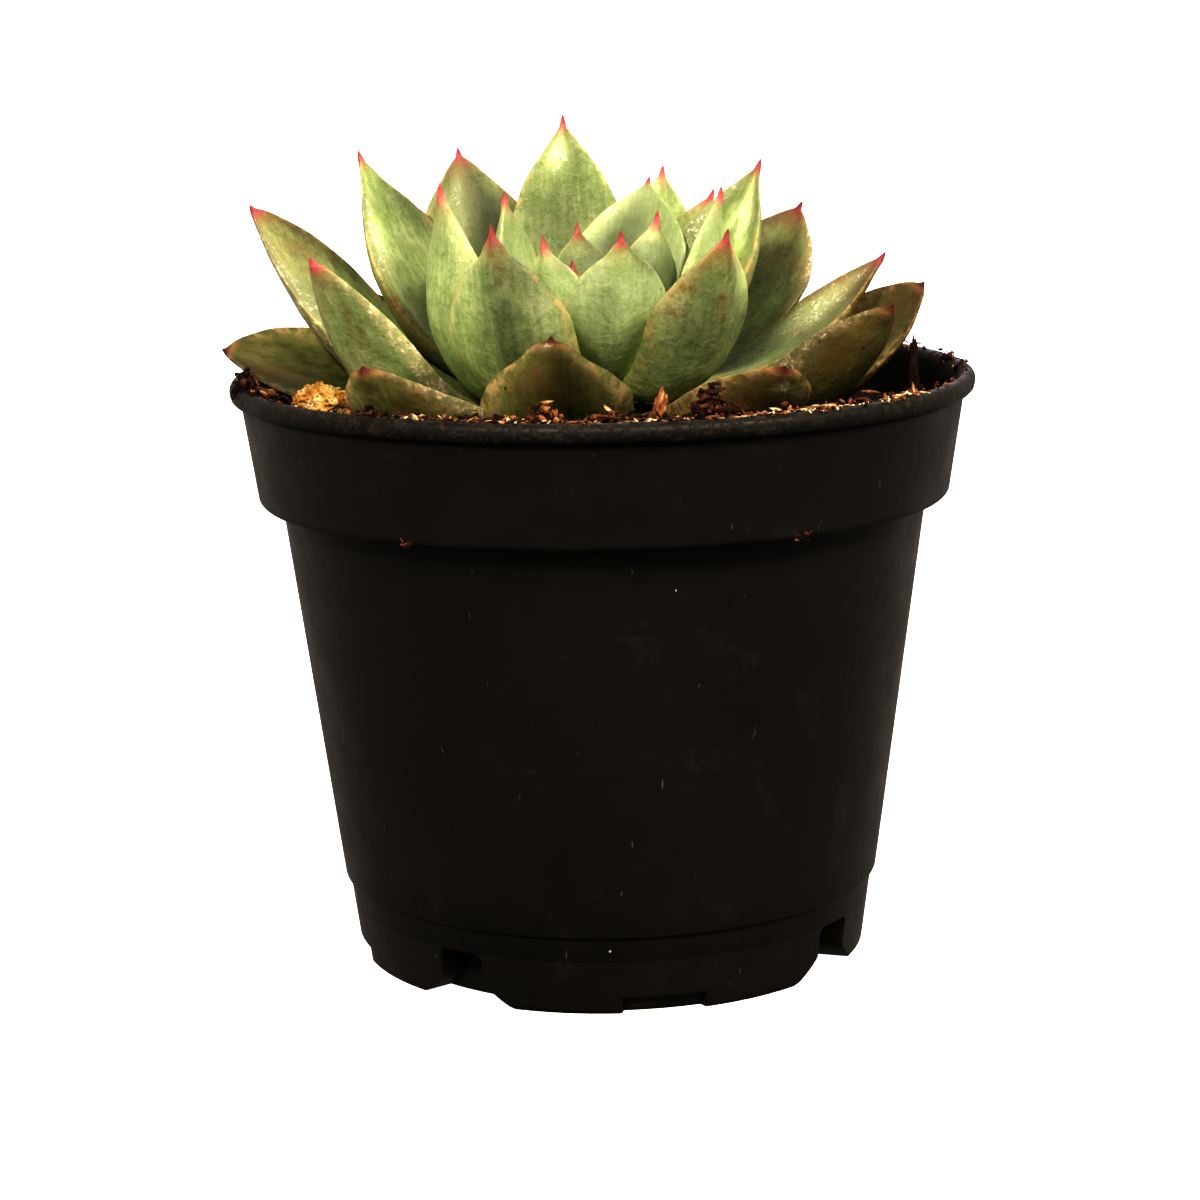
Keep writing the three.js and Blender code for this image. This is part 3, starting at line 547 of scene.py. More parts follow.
def leafShape(row, seed, along, around):
    age, az, reach, top, width, startSlope, endSlope, roll, baseZ = row[:9]
    f, b = dict(zip(formColumns, leafForms[age])), bladeSet
    thick = min(b["heartThick"][0], b["heartThick"][1] * width) if age == "heart" else f["thick"]
    h = np.array([*onCircle(az, 1), 0.0])
    up = np.array([0, 0, 1.0])
    side0 = np.array([-h[1], h[0], 0.0])
    baseR = b["budStemR"] if baseZ > 90 else b["stemR"][0] - b["stemR"][1] * (baseZ - b["stemR"][2])
    (c0, s0), (c1, s1) = onCircle(startSlope, 1), onCircle(endSlope, 1)
    dx, dz = reach - baseR, top - baseZ
    chord = math.hypot(dx, dz)
    det = c0 * s1 - c1 * s0
    keep = [min(0.9 * chord, max(0.2 * chord, v / det * f["bend"])) for v in (dx * s1 - dz * c1, c0 * dz - s0 * dx)]
    b0 = h * baseR + up * baseZ
    b3 = h * reach + up * top
    b1 = b0 + (h * c0 + up * s0) * keep[0]
    b2 = b3 - (h * c1 + up * s1) * keep[1]

    def curve(t):
        t = np.asarray(t)[:, None]
        return b0 * (1 - t) ** 3 + b1 * 3 * (1 - t) ** 2 * t + b2 * 3 * (1 - t) * t * t + b3 * t ** 3

    steps = np.linspace(0, 1, 300)
    path = curve(steps)
    run = np.concatenate([[0], np.cumsum(np.linalg.norm(np.diff(path, axis=0), axis=1))])
    length = run[-1]
    s = 1 - (1 - np.linspace(0, 1, along)) ** 1.35
    s = s[:-1]
    t = np.interp(s * length, run, steps)
    centre = curve(t)
    tangent = curve(np.minimum(t + 1e-4, 1)) - curve(t - 1e-4)
    tangent /= np.linalg.norm(tangent, axis=1)[:, None]
    spine = f["spine"] / length
    u = np.minimum(1, s / (1 - 0.6 * spine))
    beyond = (u - f["widest"]) / (1 - f["widest"])
    swell = np.sin(math.pi / 2 * np.minimum(1, u / f["widest"])) ** b["fullness"]
    taper = np.maximum(0, 1 - np.clip(beyond, 0, 1) ** f["flank"]) ** f["sharp"]
    w = np.where(u < f["widest"], between((b["baseHalf"], 1), swell), taper)
    w = w * (1 - hollows.get(seed, b["shoulder"]) * np.exp(-((beyond - b["shoulderAt"][0]) / b["shoulderAt"][1]) ** 2))
    half = np.maximum(width / 2 * w, b["spineHalf"] * np.minimum(1, (1 - s) * length / f["spine"]) ** b["spinePower"])
    body = thick * between((b["baseBody"], 1), np.sin(math.pi * np.minimum(1, (u + 0.02) / 0.95)) ** 0.8)
    body = body * (1 - b["tipThin"] * smoothStep((u - 0.55) / 0.45))
    body = np.maximum(np.minimum(body, half * 1.35), np.minimum(0.9, half * 1.8))
    keel = b["keel"] * smoothStep((u - 0.25) / 0.6)
    cup = f["cup"] * half * smoothStep(u * 3)
    q = np.linspace(0, 2 * math.pi, around, endpoint=False)
    q = q - b["crowd"] * np.sin(2 * q)  # closer rows of points at the margins
    c, sn = np.abs(np.cos(q)), np.sin(q)
    rim = np.sqrt(np.maximum(0, 1 - c ** b["rimPower"]))
    points, rows = [], []
    for i in range(len(s)):
        n0 = np.cross(tangent[i], side0)
        r = math.radians(roll) * float(smoothStep(s[i] * 2))
        across = side0 * math.cos(r) + n0 * math.sin(r)
        normal = np.cross(tangent[i], across)
        below = (1 - keel[i]) * rim + keel[i] * (1 - c) ** 1.1
        lift = cup[i] * c * c + np.where(sn >= 0, b["above"] * body[i] * rim, -b["below"] * body[i] * below)
        points.append(centre[i] + np.outer(half[i] * np.cos(q), across) + np.outer(lift, normal))
        rows.append(np.stack([np.full(around, (1 - s[i]) * length), c, smoothStep(sn * 2 + 0.5), np.full(around, s[i]),
                              np.cos(q), half[i] * np.cos(q)]))
    points = np.concatenate(points + [b0[None], b3[None]])
    ends = np.array([[length, 0, 0.5, 0, 0, 0], [0, 1, 0.5, 1, 0, 0]]).T
    values = dict(zip(("tipMm", "edge", "inner", "along", "across", "acrossMm"), np.concatenate(rows + [ends], axis=1)))
    # small swellings and hollows that no leaf is without, fading out at the spine
    fade = smoothStep((values["tipMm"] - 1) / 6)
    outward = points - np.concatenate([np.repeat(centre, around, axis=0), b0[None], b3[None]])
    size = np.linalg.norm(outward, axis=1)[:, None]
    outward = outward / np.maximum(size, 1e-6)
    push = leafMesh["uneven"] * wobble(points, leafMesh["unevenSize"], seed) \
        + leafMesh["fine"] * wobble(points, leafMesh["fineSize"], seed + 20)
    points = points + outward * (push * fade)[:, None]
    faces, last = gridFaces(len(s), around), len(s) * around
    for j in range(around):
        k = (j + 1) % around
        faces += [(last, k, j), (last - around + j, last - around + k, last + 1)]
    values["spineMm"] = values["tipMm"] * bluntness.get(seed, bluntness[age])
    values["brown"] = np.full(len(points), row[9])
    values["lightness"] = np.full(len(points), row[10])
    # rust: stains the leaf has; shine: where highlights are painted, and the leaf is glossier
    values["rust"], values["shine"] = np.zeros(len(points)), np.zeros(len(points))
    for kind, marks in leafMarks.get(seed, {}).items():
        for along0, across0, long, wide, strength in marks:
            off = ((values["along"] - along0) / long) ** 2 + ((values["across"] - across0) / wide) ** 2
            # deep and cast darken the lightness: painted shade, soft or with a crisp edge; a negative strength paints
            # light
            if kind in fallOff:
                values["lightness"] = values["lightness"] * np.exp(-strength * np.exp(-off ** fallOff[kind]))
            else:
                values[kind] = np.maximum(values[kind], strength * np.exp(-off))
    return points, faces, values


# young, green and old leaves: colours, how strong the dusty bloom, the blush and the mottling are, where the pale
# band at the margin starts, the share of places without a speck, least and greatest roughness, gloss and clear wax
leafSkins = ("leafYoung", "leafGreen", "leafOld")
leafLooks = {
    "inner": ("#a6b988", "#92a26a", "#5f633b"), "outer": ("#a0b284", "#8c9c6c", "#63663b"),
    "deep_green_and_painted_shade": ("#7c8f58", "#54663b", "#363d22"), "base": ("#bcc08c", "#a5a468", "#74734a"),
    "brown": ("#857a4c", "#75603c", "#50432d"), "rim": ("#c9cc94", "#bfae72", "#96805a"),
    "bloom": ("#b9c3a0", "#a9b38c", "#7c7c58"), "specks": (0.93, 0.85, 0.78),
    "rough": ((0.3, 0.5), (0.28, 0.5), (0.46, 0.7)), "blush": (0.3, 0.45, 0.5), "dusty": (0.3, 0.4, 0.25),
    "flame": ("#b04c52", "#a8474c", "#4e2822"), "crimson": ("#902438", "#862233", "#3c1518"),
    "band": (0.9, 0.8, 0.55), "mottle": (0.35, 0.5, 0.6), "gloss": (0.38, 0.3, 0.03), "coat": (0.05, 0.04, 0),
}
leafValues = ("tipMm", "spineMm", "edge", "inner", "along", "acrossMm", "brown", "lightness", "rust", "shine")
leafNoise = {"cloud": (9, 4, 0.6), "patch": (4.2, 5, 0.7), "mottle": (1.5, 5, 0.65), "grain": (0.5, 3, 0.6),
             "streak": (1.1, 4, 0.6)}  # size (mm), detail, roughness


def leafFlesh(name, s):
    # Living leaf, grown: thick waxy skin over wet green flesh, so soft glow inside and a broken satin gloss on top
    material, tree, bsdf, place = startMaterial(name, {
        "IOR": 1.45, "Specular IOR Level": s["gloss"], "Subsurface Weight": 0.12, "Subsurface Radius": (1.0, 1.1, 0.35),
        "Subsurface Scale": 0.0012, "Coat Weight": s["coat"], "Coat Roughness": 0.2})
    v = {key: addNode(tree, "Attribute", {"attribute_name": key}).outputs["Fac"] for key in leafValues}
    # streaks run along the leaf
    flat = addNode(tree, "CombineXYZ", {}, {0: v["tipMm"], 1: v["acrossMm"], 2: v["brown"]})
    flow = addNode(tree, "VectorMath", {"operation": "MULTIPLY", 1: (0.0003, 0.0016, 0.2)}, {0: flat})
    for key, (size, detail, rough) in leafNoise.items():
        v[key] = addNode(tree, "TexNoise", {"Scale": perMm(size), "Detail": detail, "Roughness": rough},
                         {"Vector": flow if key == "streak" else place})
    v["blemish"] = spotsOf(tree, place, 2.1, s["specks"], 0.05, 0.15)
    v["freckle"] = spotsOf(tree, place, 0.9, 0.9, 0.08, 0.2)
    # tiny pale spots for painted glints
    v["wax"] = spotsOf(tree, place, 1.0, 0.86, 0.05, 0.15)
    plain = (0, 1, 0, 1, "LINEAR")
    # brown creeps in from the tip and the margins, in blotches; rust has a rough middle
    v["creep"] = maskOf(tree, v, [("tipMm", 1, 22, 0.65, 0), ("edge", 0.65, 1, 0, 0.4),
                                  ("patch", 0.38, 0.66, 0, 0.5)], "ADD")
    v["wash"] = maskOf(tree, v, [("creep", *plain), ("brown", *plain)])
    v["crust"] = maskOf(tree, v, [("mottle", 0.35, 0.65, -0.5, 0.6), ("rust", *plain)])
    v["scab"] = maskOf(tree, v, [("rust", 0, 1, 0, 0.75, "LINEAR"), ("crust", *plain)], "ADD")
    face = addNode(tree, "Mix", {"data_type": "RGBA", 6: s["outer"], 7: s["inner"]}, {0: v["inner"]}).outputs[2]
    face = addLayers(tree, v, face, [
        (s["deep_green_and_painted_shade"], ("cloud", 0.38, 0.66, 0, 0.6)),
        (s["bloom"], ("patch", 0.48, 0.7, 0, s["dusty"])),
        (s["deep_green_and_painted_shade"], ("mottle", 0.45, 0.66, 0, s["mottle"])),
        (s["deep_green_and_painted_shade"], ("streak", 0.42, 0.64, 0, 0.32)),
        (s["bloom"], ("streak", 0.3, 0.46, 0.25, 0)),
        (s["rim"], ("grain", 0.5, 0.7, 0, 0.08)),
        (s["base"], ("along", 0, 0.3, 0.2, 0)),
        (s["brown"], ("wash", 0.1, 0.85, 0, 0.95)),
        # pale band along the margin: partly the margin's own paler colour, partly a painted highlight on the edge
        (s["rim"], ("edge", s["band"], 1, 0, 1), ("mottle", 0.42, 0.62, 0, 0.8), ("along", 0.15, 0.6, 0.3, 1)),
        ("#5e3c22", ("patch", 0.62, 0.72, 0, 0.6), ("brown", -0.1, 0.9, 0, 1, "LINEAR")),  # stains
        ("#6e5632", ("scab", 0.12, 1.1, 0, 0.85)),  # rust, and its darker middle
        ("#57321a", ("scab", 0.75, 1.3, 0, 0.7)),
        ("#dcdcae", ("shine", 0, 1, 0, 0.3, "LINEAR")),  # painted highlight: a paler wash here, and white glints on the next line
        ("#fffbe8", ("shine", *plain), ("grain", 0.46, 0.6, 0, 1), ("mottle", 0.5, 0.6, 0, 1)),
        ("#a0704c", ("spineMm", 2.4, 6.5, s["blush"], 0), ("mottle", -0.45, 0.55, 0, 1, "LINEAR")),
        (s["flame"], ("spineMm", 1.7, 3.6, 0.9, 0)),  # the red tip and its crimson spine
        (s["crimson"], ("spineMm", 0.2, 2, 0.85, 0)),
        ("#2b2210", ("blemish", 0, 1, 0, 0.85, "LINEAR")),
        (s["deep_green_and_painted_shade"], ("freckle", 0, 1, 0, 0.5, "LINEAR")),
        # painted glints: tiny pale dots, most of them along the margins
        ("#fbf4d6", ("wax", *plain), ("edge", 0.8, 0.98, 0.075, 0.675)),
    ])
    # lightness: each leaf's own tone together with its painted light and shade
    toned = addNode(tree, "HueSaturation", {"Saturation": 0.97}, {"Value": v["lightness"], "Color": face})
    # the gloss is worn and rubbed in patches
    rough = maskOf(tree, v, [("patch", 0.35, 0.65, *s["rough"]), ("shine", 0, 1, 1, 0.5)])
    low = addNode(tree, "Bump", {"Strength": 0.5, "Distance": 0.0006}, {"Height": v["mottle"]})
    long = addNode(tree, "Bump", {"Strength": 0.2, "Distance": 0.0003}, {"Height": v["streak"], "Normal": low})
    fine = addNode(tree, "Bump", {"Strength": 0.2, "Distance": 0.0002}, {"Height": v["grain"], "Normal": long})
    linkTo(tree, bsdf, {"Base Color": toned, "Roughness": rough, "Normal": fine})
    return material


fleshOf = {skin: leafFlesh("living echeveria leaf " + skin, {key: row[i] for key, row in leafLooks.items()})
           for i, skin in enumerate(leafSkins)}
lookOf = {"heart": ("leafYoung", "leaf_young"), "middle": ("leafGreen", "leaf_green"),
          "outer": ("leafGreen", "leaf_green"), "worn": ("leafGreen", "leaf_green"), "old": ("leafOld", "leaf_old")}


def makeLeaves():
    for i, row in enumerate(leafTable):
        points, faces, values = leafShape(row, i + 1, leafMesh["along"], leafMesh["around"])
        look, slot = lookOf[row[0]]
        leaf = makePiece(f"leaf_skin_{i + 1:02d}", points * mm, faces, fleshOf[look], values)
        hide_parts(f"leaf_{i + 1:02d}")


def makeHeart():
    buds = []
    for i, (az, reach, top, width) in enumerate(budTable):
        buds.append(leafShape(("heart", az, reach, top, width, 55, 86, 0, 90.5, 0.0, 1.0), 50 + i, 30, 24))
    points, faces = joinParts(buds)
    values = {key: np.concatenate([b[2][key] for b in buds]) for key in buds[0][2]}
    heart = makePiece("heart_buds", points * mm, faces, fleshOf["leafYoung"], values)
    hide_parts("heart")


makeLeaves()
makeHeart()
print("leaves made")

# soil, with crumbs and coir fibres

soilSet = {"z": 78.2, "frontRise": 2.2, "backDrop": 2.6, "backAz": 40, "lump": 0.55, "mound": 1.7, "columns": 260,
           "rings": 90, "topR": 48.3, "clear": 0.3}


def soilHeight(x, y):
    r = np.hypot(x, y)
    a = np.arctan2(y, x)
    s = soilSet
    bumps = np.sin(x * 0.9 + 1.3) * np.cos(y * 0.8 - 0.4) + 0.6 * np.sin(x * 1.9 - y * 1.6) \
        + 0.4 * np.cos(x * 3.1 + y * 2.7)
    front = np.maximum(0, -np.sin(a)) ** 0.8
    away = np.maximum(0, np.cos(a - math.radians(s["backAz"]))) ** 2
    rise = smoothStep((r - 16) / 26) * (s["frontRise"] * front - s["backDrop"] * away)
    mound = s["mound"] * smoothStep((r - 43) / 4) * smoothStep((-np.sin(a) - 0.3) / 0.4)
    return s["z"] + rise + mound + s["lump"] * bumps * smoothStep(r / 10)


# damp peat, rust-brown bark and coir, dry golden coir: from dark to light
litterRamp = [(0.0, "#0e0906"), (0.28, "#28160e"), (0.5, "#5a3020"), (0.7, "#a06a42"), (0.85, "#d4ab7c"),
              (1.0, "#f2e2c0")]


def litterMaterial(name, size, bump):
    material, tree, bsdf, place = startMaterial(name, {"IOR": 1.45, "Roughness": 0.85, "Specular IOR Level": 0.3})
    vary = addNode(tree, "TexNoise", {"Scale": perMm(size), "Detail": 5, "Roughness": 0.7}, {"Vector": place})
    v = {"vary": vary, "tone": addNode(tree, "Attribute", {"attribute_name": "tone"}).outputs["Fac"]}
    mixed = maskOf(tree, v, [("vary", 0.3, 0.7, -0.2, 0.2), ("tone", -1, 2, -1, 2)], "ADD", "LINEAR")
    colour = addNode(tree, "ValToRGB", {"ramp": litterRamp}, {0: mixed})
    relief = addNode(tree, "Bump", {"Strength": 0.9, "Distance": bump * mm}, {"Height": vary})
    linkTo(tree, bsdf, {"Base Color": colour, "Normal": relief})
    return material


# Peat, milled and damp: nearly black crumbs with rust in them, no gloss but for a few damp glints
peat = litterMaterial("damp milled peat", 1.1, 0.9)
# Bark, crushed and half rotted: rust brown lumps and flakes, darker in the hollows
bark = litterMaterial("crushed bark", 1.6, 0.5)
# Coconut fibre, retted and dried: dull rust to straw, lighter where it stands clear of the soil
coir = litterMaterial("dry coir fibre", 3.0, 0.2)


def makeSoil(s):
    p = potSet
    n = s["columns"]
    a = np.linspace(0, 2 * math.pi, n, endpoint=False)
    wall = p["wall"] + s["clear"]
    low = p["floorZ"] + p["floorThick"] + s["clear"]
    shelf = p["collarBottom"][1] + p["wall"] + s["clear"]
    bodyR = p["bodyTopR"] - wall - 0.1
    rows = [(0.02, low), (p["skirtTopR"] - wall - 0.5, low), (p["bodyBottomR"] - wall - 0.1, p["step"] + 0.4),
            (bodyR, shelf - 2.5), (bodyR, shelf), (p["collarBottom"][0] - wall - 0.1, shelf)]
    points = []
    for r, z in rows:
        points += [(r * math.cos(t), r * math.sin(t), z) for t in a]
    radii = np.linspace(s["topR"], 0.4, s["rings"])
    for k, r in enumerate(radii):
        x, y = r * np.cos(a), r * np.sin(a)
        z = soilHeight(x, y) - (0.4 if k == 0 else 0)
        place = np.stack([x, y, z], 1)
        rough = wobble(place, 2.2, 3) * 0.7 + wobble(place, 0.9, 5) * 0.35
        points += list(zip(x, y, z + (rough if k else 0)))  # the outermost ring is smooth, against the pot
    tone = 0.14 + 0.16 * wobble(points, 2.5, 9) + 0.1 * wobble(points, 1.1, 12)
    faces = gridFaces(len(points) // n, n, True)
    soil = makePiece("soil_bed", np.array(points) * mm, faces, peat, {"tone": tone})
    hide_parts("soil")


def lumpBall(detail):
    ball = bmesh.new()
    bmesh.ops.create_icosphere(ball, subdivisions=detail, radius=1)
    points = np.array([v.co[:] for v in ball.verts])
    faces = [tuple(v.index for v in f.verts) for f in ball.faces]
    ball.free()
    return points, faces


# where crumbs lie: arc between two directions (degrees) and radii, heap round a point, stuck on the pot's side,
# all in mm; size in mm, tone from dark peat (0) to dry golden coir (1), high: how far they pile up (mm),
# bare: how much of the bed stays empty (-1 none), flakes: the share of them that is flat
crumbColumns = {"arc": ("count", "az", "r", "size", "tone", "high", "bare", "flakes"),
                "heap": ("count", "at", "spread", "size", "tone", "high"),
                "stuck": ("count", "az", "r", "z", "size", "tone")}
crumbBeds = {
    "arc": [
        (520, (0, 360), (18, 48), (0.3, 1.1), (0, 0.45), 0.3, -1, 0.4),
        (380, (228, 330), (43.5, 48.6), (0.25, 0.85), (0, 0.6), 1.2, -1, 0.4),
        (300, (238, 268), (48.4, 51.7), (0.14, 0.55), (0.2, 1.1), 0.6, 0, 0.8),
        (260, (266, 292), (48.4, 51.5), (0.12, 0.42), (0.15, 0.95), 0.5, 0, 0.8),
        (620, (289, 325), (48.4, 52), (0.14, 0.56), (0.35, 1.1), 0.7, -0.05, 0.85),
        (90, (323, 352), (48.6, 51.6), (0.12, 0.4), (0.1, 0.75), 0.4, 0, 0.8),
        (60, (356, 376), (48.4, 51.6), (0.2, 0.7), (0.2, 0.5), 1, -0.1, 0.4),
        (60, (206, 238), (49, 51.7), (0.1, 0.3), (0.1, 0.95), 0.2, 0.1, 0.8),
        (110, (178, 206), (47.6, 51.6), (0.15, 0.6), (0, 0.5), 0.8, -1, 0.4),
        (60, (20, 178), (49, 51.6), (0.12, 0.4), (0.1, 0.7), 0.3, -1, 0.4),
    ],
    "heap": [
        (230, (13.3, -46.2), (3.3, 1.5), (0.2, 0.7), (0.1, 0.6), 4.6),
        (110, (-8, -47.4), (3.4, 1), (0.2, 0.6), (0.2, 0.75), 3.2),
        (70, (1.2, -47.6), (2, 0.9), (0.2, 0.6), (0.2, 0.8), 2.6),
        (90, (44, -12.5), (1.2, 1.6), (0.2, 0.6), (0, 0.4), 4),
        (120, (-49, -11), (1.2, 3.6), (0.2, 0.7), (0, 0.5), 3.2),
        (60, (-31, -36.8), (2.6, 1.2), (0.2, 0.6), (0.1, 0.7), 2),
    ],
    "stuck": [
        (16, (300, 303), 48.9, 66.3, (0.15, 0.5), (0.2, 0.5)),
        (12, (237, 239.5), 48.9, 66.2, (0.15, 0.4), (0.3, 0.6)),
    ],
}
pebble, lump = lumpBall(1), lumpBall(2)


def litterFloor(x, y):
    # what crumbs come to rest on: the soil, or the lip
    r, s = math.hypot(x, y), potSet
    if r < s["lipR"] - 3.2:
        return float(soilHeight(np.array(x), np.array(y)))
    return s["lipTop"] - max(0.0, abs(r - s["lipR"] + 1.2) - 0.4) * 0.7


# lumps, and flakes that lie nearly flat: thickness, length at most (shares of the size), how far they may lean
crumbShapes = {"lump": ((0.5, 0.95), 1.5, 1.0), "flake": ((0.15, 0.35), 2.6, 0.35)}
fineFrom = 0.62  # crumbs above this size get the finer mesh


def oneCrumb(rng, place, size, tone, flakes):
    points, faces = lump if size > fineFrom else pebble
    thick, long, lean = crumbShapes["flake" if rng.random() < flakes else "lump"]
    flat = rng.uniform(*thick)
    shape = np.array([rng.uniform(0.8, long), rng.uniform(0.5, 1.0), flat]) * size
    axis = Vector((rng.uniform(-lean, lean), rng.uniform(-lean, lean), rng.uniform(0.3, 1))).normalized()
    turn = np.array(Matrix.Rotation(rng.uniform(0, 6.3), 3, axis))
    push = 1 + 0.6 * wobble(points, 0.6, rng.uniform(0, 40))
    return (points * push[:, None] * shape) @ turn.T + np.array(place), faces, tone


def crumbPlace(rng, kind, bed, size):
    if kind == "heap":
        gx, gy = rng.gauss(0, 0.5), rng.gauss(0, 0.5)
        x, y = bed["at"][0] + gx * bed["spread"][0], bed["at"][1] + gy * bed["spread"][1]
        high = bed["high"] * math.exp(-1.6 * (gx * gx + gy * gy)) * (0.25 + 0.75 * rng.random())
        return x, y, litterFloor(x, y) + high
    az = rng.uniform(*bed["az"])
    if kind == "stuck":
        return *onCircle(az, bed["r"]), bed["z"] + rng.gauss(0, 0.5)
    x, y = onCircle(az, math.sqrt(rng.uniform(bed["r"][0] ** 2, bed["r"][1] ** 2)))
    return x, y, litterFloor(x, y) + size * 0.2 + bed["high"] * rng.random() ** 2


def makeCrumbs(beds):
    rng = random.Random(litterSeeds["crumbs"])
    dark, rust = [], []
    for kind, row in [(kind, row) for kind, rows in beds.items() for row in rows]:
        bed = dict(zip(crumbColumns[kind], row))
        for i in range(bed["count"]):
            size = between(bed["size"], rng.random() ** 2)
            tone = between(bed["tone"], rng.random())
            place = crumbPlace(rng, kind, bed, size)
            if noise.noise(Vector(place) / 2.6) > bed.get("bare", -1):  # they lie in clusters
                (dark if tone < 0.4 else rust).append(oneCrumb(rng, place, size, tone, bed.get("flakes", 0.4)))
    for name, parts, material, slot in (("peat_crumbs", dark, peat, "soil"), ("bark_crumbs", rust, bark, "bark")):
        points, faces = joinParts(parts)
        tone = np.concatenate([np.full(len(part[0]), part[2]) for part in parts])
        makePiece(name, points * mm, faces, material, {"tone": tone})


# fibres: between which directions (degrees) and radii, how many, length and radius (mm), tone, how steeply they stand
fibreBeds = [
    ((0, 360), (24, 48), 170, (2, 6), (0.05, 0.15), (0.05, 0.55), 0.6),
    ((232, 330), (44, 49), 90, (1.2, 3.6), (0.08, 0.24), (0.2, 0.75), 1),
    ((238, 322), (49, 51.4), 80, (0.8, 2.4), (0.07, 0.2), (0.4, 0.95), 0.4),
    ((322, 400), (46, 51.2), 50, (1, 4), (0.06, 0.16), (0.2, 0.9), 1),
    ((178, 215), (44.5, 51.2), 50, (1, 3.4), (0.08, 0.24), (0.05, 0.85), 1.3),
    ((182, 200), (46.5, 51), 26, (1.6, 4), (0.2, 0.45), (0.35, 0.8), 2.2),
    ((283, 290), (45.5, 48), 24, (1.2, 3), (0.08, 0.2), (0.15, 0.6), 2.4),
]
fibreShape = {"sides": 5, "steps": 9}
litterSeeds = {"crumbs": 11, "fibres": 29}


def oneFibre(rng, start, heading, length, radius, rise):
    # a short bent fibre as a thin closed tube
    n, sides = fibreShape["steps"], fibreShape["sides"]
    bend, lift = rng.uniform(-0.9, 0.9), rng.uniform(0.1, 1.0) * rise
    path = []
    x, y, z = start
    for k in range(n):
        t = k / (n - 1)
        a = heading + bend * t
        path.append((x, y, z + lift * math.sin(math.pi * (0.15 + 0.7 * t)) * length * 0.35))
        x += math.cos(a) * length / n
        y += math.sin(a) * length / n
    path = np.array(path)
    points = []
    for k in range(n):
        d = path[min(k + 1, n - 1)] - path[max(k - 1, 0)]
        d /= np.linalg.norm(d)
        u = np.cross(d, [0.0, 0.0, 1.0])
        u /= max(np.linalg.norm(u), 1e-6)
        v = np.cross(d, u)
        r = radius * (0.35 + 0.65 * math.sin(math.pi * (0.12 + 0.76 * k / (n - 1))))
        for j in range(sides):
            q = 2 * math.pi * j / sides
            points.append(path[k] + r * (u * math.cos(q) + v * math.sin(q)))
    return np.array(points), gridFaces(n, sides, True)


def makeFibres(beds):
    rng = random.Random(litterSeeds["fibres"])
    parts, tones = [], []
    for az, ring, count, long, thick, tone, rise in beds:
        for i in range(count):
            a, r = math.radians(rng.uniform(*az)), rng.uniform(*ring)
            x, y = r * math.cos(a), r * math.sin(a)
            heading = a + math.pi / 2 + rng.gauss(0, 0.4 if r > 48.5 else 0.9)  # those on the lip lie along it
            start = (x, y, litterFloor(x, y) + 0.1)
            part = oneFibre(rng, start, heading, rng.uniform(*long), rng.uniform(*thick), rise)
            if np.hypot(part[0][:, 0], part[0][:, 1]).max() < potSet["lipR"] - 0.3:
                parts.append(part)
                tones.append(np.full(len(part[0]), rng.uniform(*tone)))
    points, faces = joinParts(parts)
    makePiece("coir_fibres", points * mm, faces, coir, {"tone": np.concatenate(tones)})


makeSoil(soilSet)
makeCrumbs(crumbBeds)
makeFibres(fibreBeds)
print("soil made")

# loose pieces: the porous grain and the bark chips

# direction (degrees), distance from the middle and height, half sizes, turn and tilt (degrees)
grainSet = {"az": 209, "r": 43.5, "z": 81.8, "size": (4.0, 3.1, 2.9), "squeeze": 0.94}
chipColumns = ("node", "az", "r", "z", "size", "turn", "tilt", "tone")
chipSet = [
    ("bark_chip_front", 279.5, 43, 83, (0.9, 0.6, 2.6), 20, 16, 0.62),
    ("bark_chip_right", 345.5, 44.4, 82.6, (0.8, 0.7, 5), 70, -4, 0.14),
    ("bark_chip_left", 196, 48, 82, (2.1, 0.7, 0.9), 50, 8, 0.6),
]


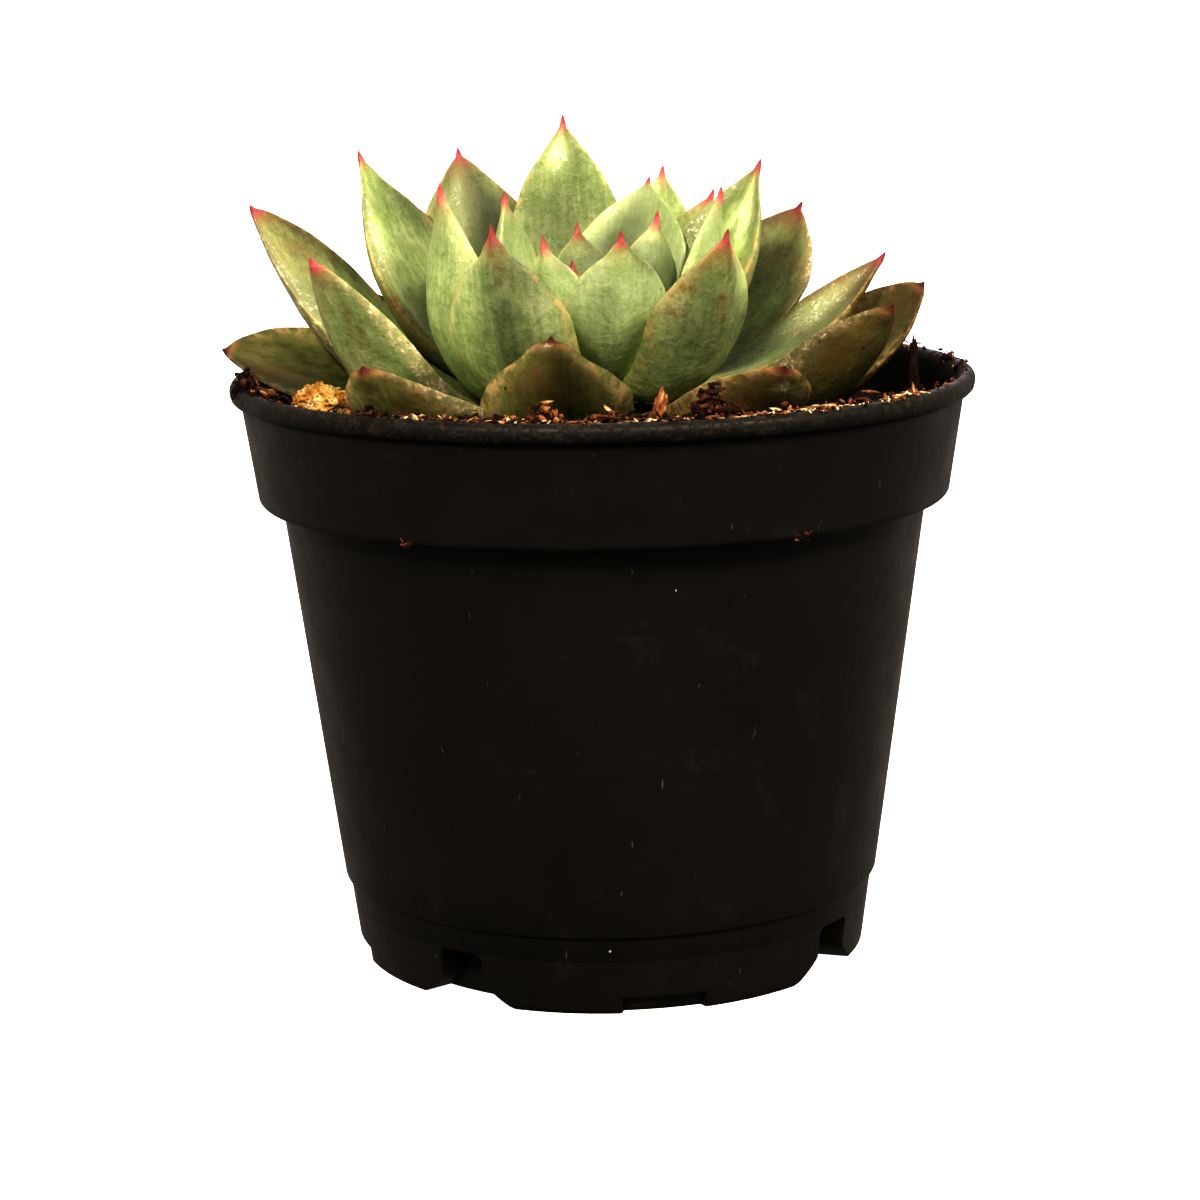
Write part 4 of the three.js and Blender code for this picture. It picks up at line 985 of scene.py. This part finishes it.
def expandedGrain():
    # Fired porous grain, golden: open pits in a chalky crust, darker down in the pits
    material, tree, bsdf, place = startMaterial("porous golden grain", {"IOR": 1.5, "Roughness": 0.9})
    v = {"pits": addNode(tree, "TexVoronoi", {"Scale": perMm(0.7), "Randomness": 1.0}, {"Vector": place})}
    stain = addNode(tree, "TexNoise", {"Scale": perMm(1.8), "Detail": 5}, {"Vector": place})
    crust = addNode(tree, "ValToRGB", {"ramp": [(0.35, "#a86c2c"), (0.5, "#dca654"), (0.66, "#f4dca0")]}, {0: stain})
    face = addLayers(tree, v, crust, [("#6a3a10", ("pits", 0.1, 0.45, 0.95, 0))], "LINEAR")
    bump = addNode(tree, "Bump", {"Strength": 1.0, "Distance": 0.0006}, {"Height": v["pits"]})
    linkTo(tree, bsdf, {"Base Color": face, "Normal": bump})
    return material


def makeLoose():
    points, faces = lumpBall(5)
    g = grainSet
    rough = 1 + 0.2 * wobble(points, 0.7, 7) + 0.2 * wobble(points, 0.3, 8) + 0.12 * wobble(points, 0.13, 9)
    cells = np.array([noise.cell_vector(Vector(p) * 4.0)[0] for p in points])
    body = points * (rough - 0.07 * (cells > 0.6))[:, None] * np.array(g["size"]) * g["squeeze"]
    body = body + np.array([*onCircle(g["az"], g["r"]), g["z"]])
    grain = makePiece("grain_crust", body * mm, faces, expandedGrain())
    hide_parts("porous_grain")
    points, faces = lumpBall(4)
    for i, row in enumerate(chipSet):
        c = dict(zip(chipColumns, row))
        rough = 1 + 0.35 * wobble(points, 0.55, 30 + i) + 0.3 * wobble(points, 0.2, 40 + i)
        turn = Matrix.Rotation(math.radians(c["turn"]), 3, "Z") @ Matrix.Rotation(math.radians(c["tilt"]), 3, "Y")
        body = (points * rough[:, None] * np.array(c["size"])) @ np.array(turn).T
        body = body + np.array([*onCircle(c["az"], c["r"]), c["z"]])
        tone = c["tone"] + 0.25 * wobble(points, 0.4, 60 + i)
        chip = makePiece(c["node"] + "_rough", body * mm, faces, bark, {"tone": tone})
        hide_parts(c["node"])


makeLoose()


def stemSkin():
    # Young succulent stem: matte green-brown cork with rings of leaf scars
    material, tree, bsdf, place = startMaterial("corky succulent stem", {"IOR": 1.45, "Roughness": 0.75})
    ring = addNode(tree, "TexWave", {"Scale": perMm(6), "Distortion": 4, "Detail": 3, "bands_direction": "Z"},
                   {"Vector": place})
    tone = addNode(tree, "ValToRGB", {"ramp": [(0.2, "#5a4a2a"), (0.7, "#7f7a45")]}, {0: ring})
    bump = addNode(tree, "Bump", {"Strength": 0.5, "Distance": 0.0006}, {"Height": ring})
    linkTo(tree, bsdf, {"Base Color": tone, "Normal": bump})
    return material


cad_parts["stem"].data.materials.clear()
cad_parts["stem"].data.materials.append(stemSkin())
print("loose pieces and stem done")
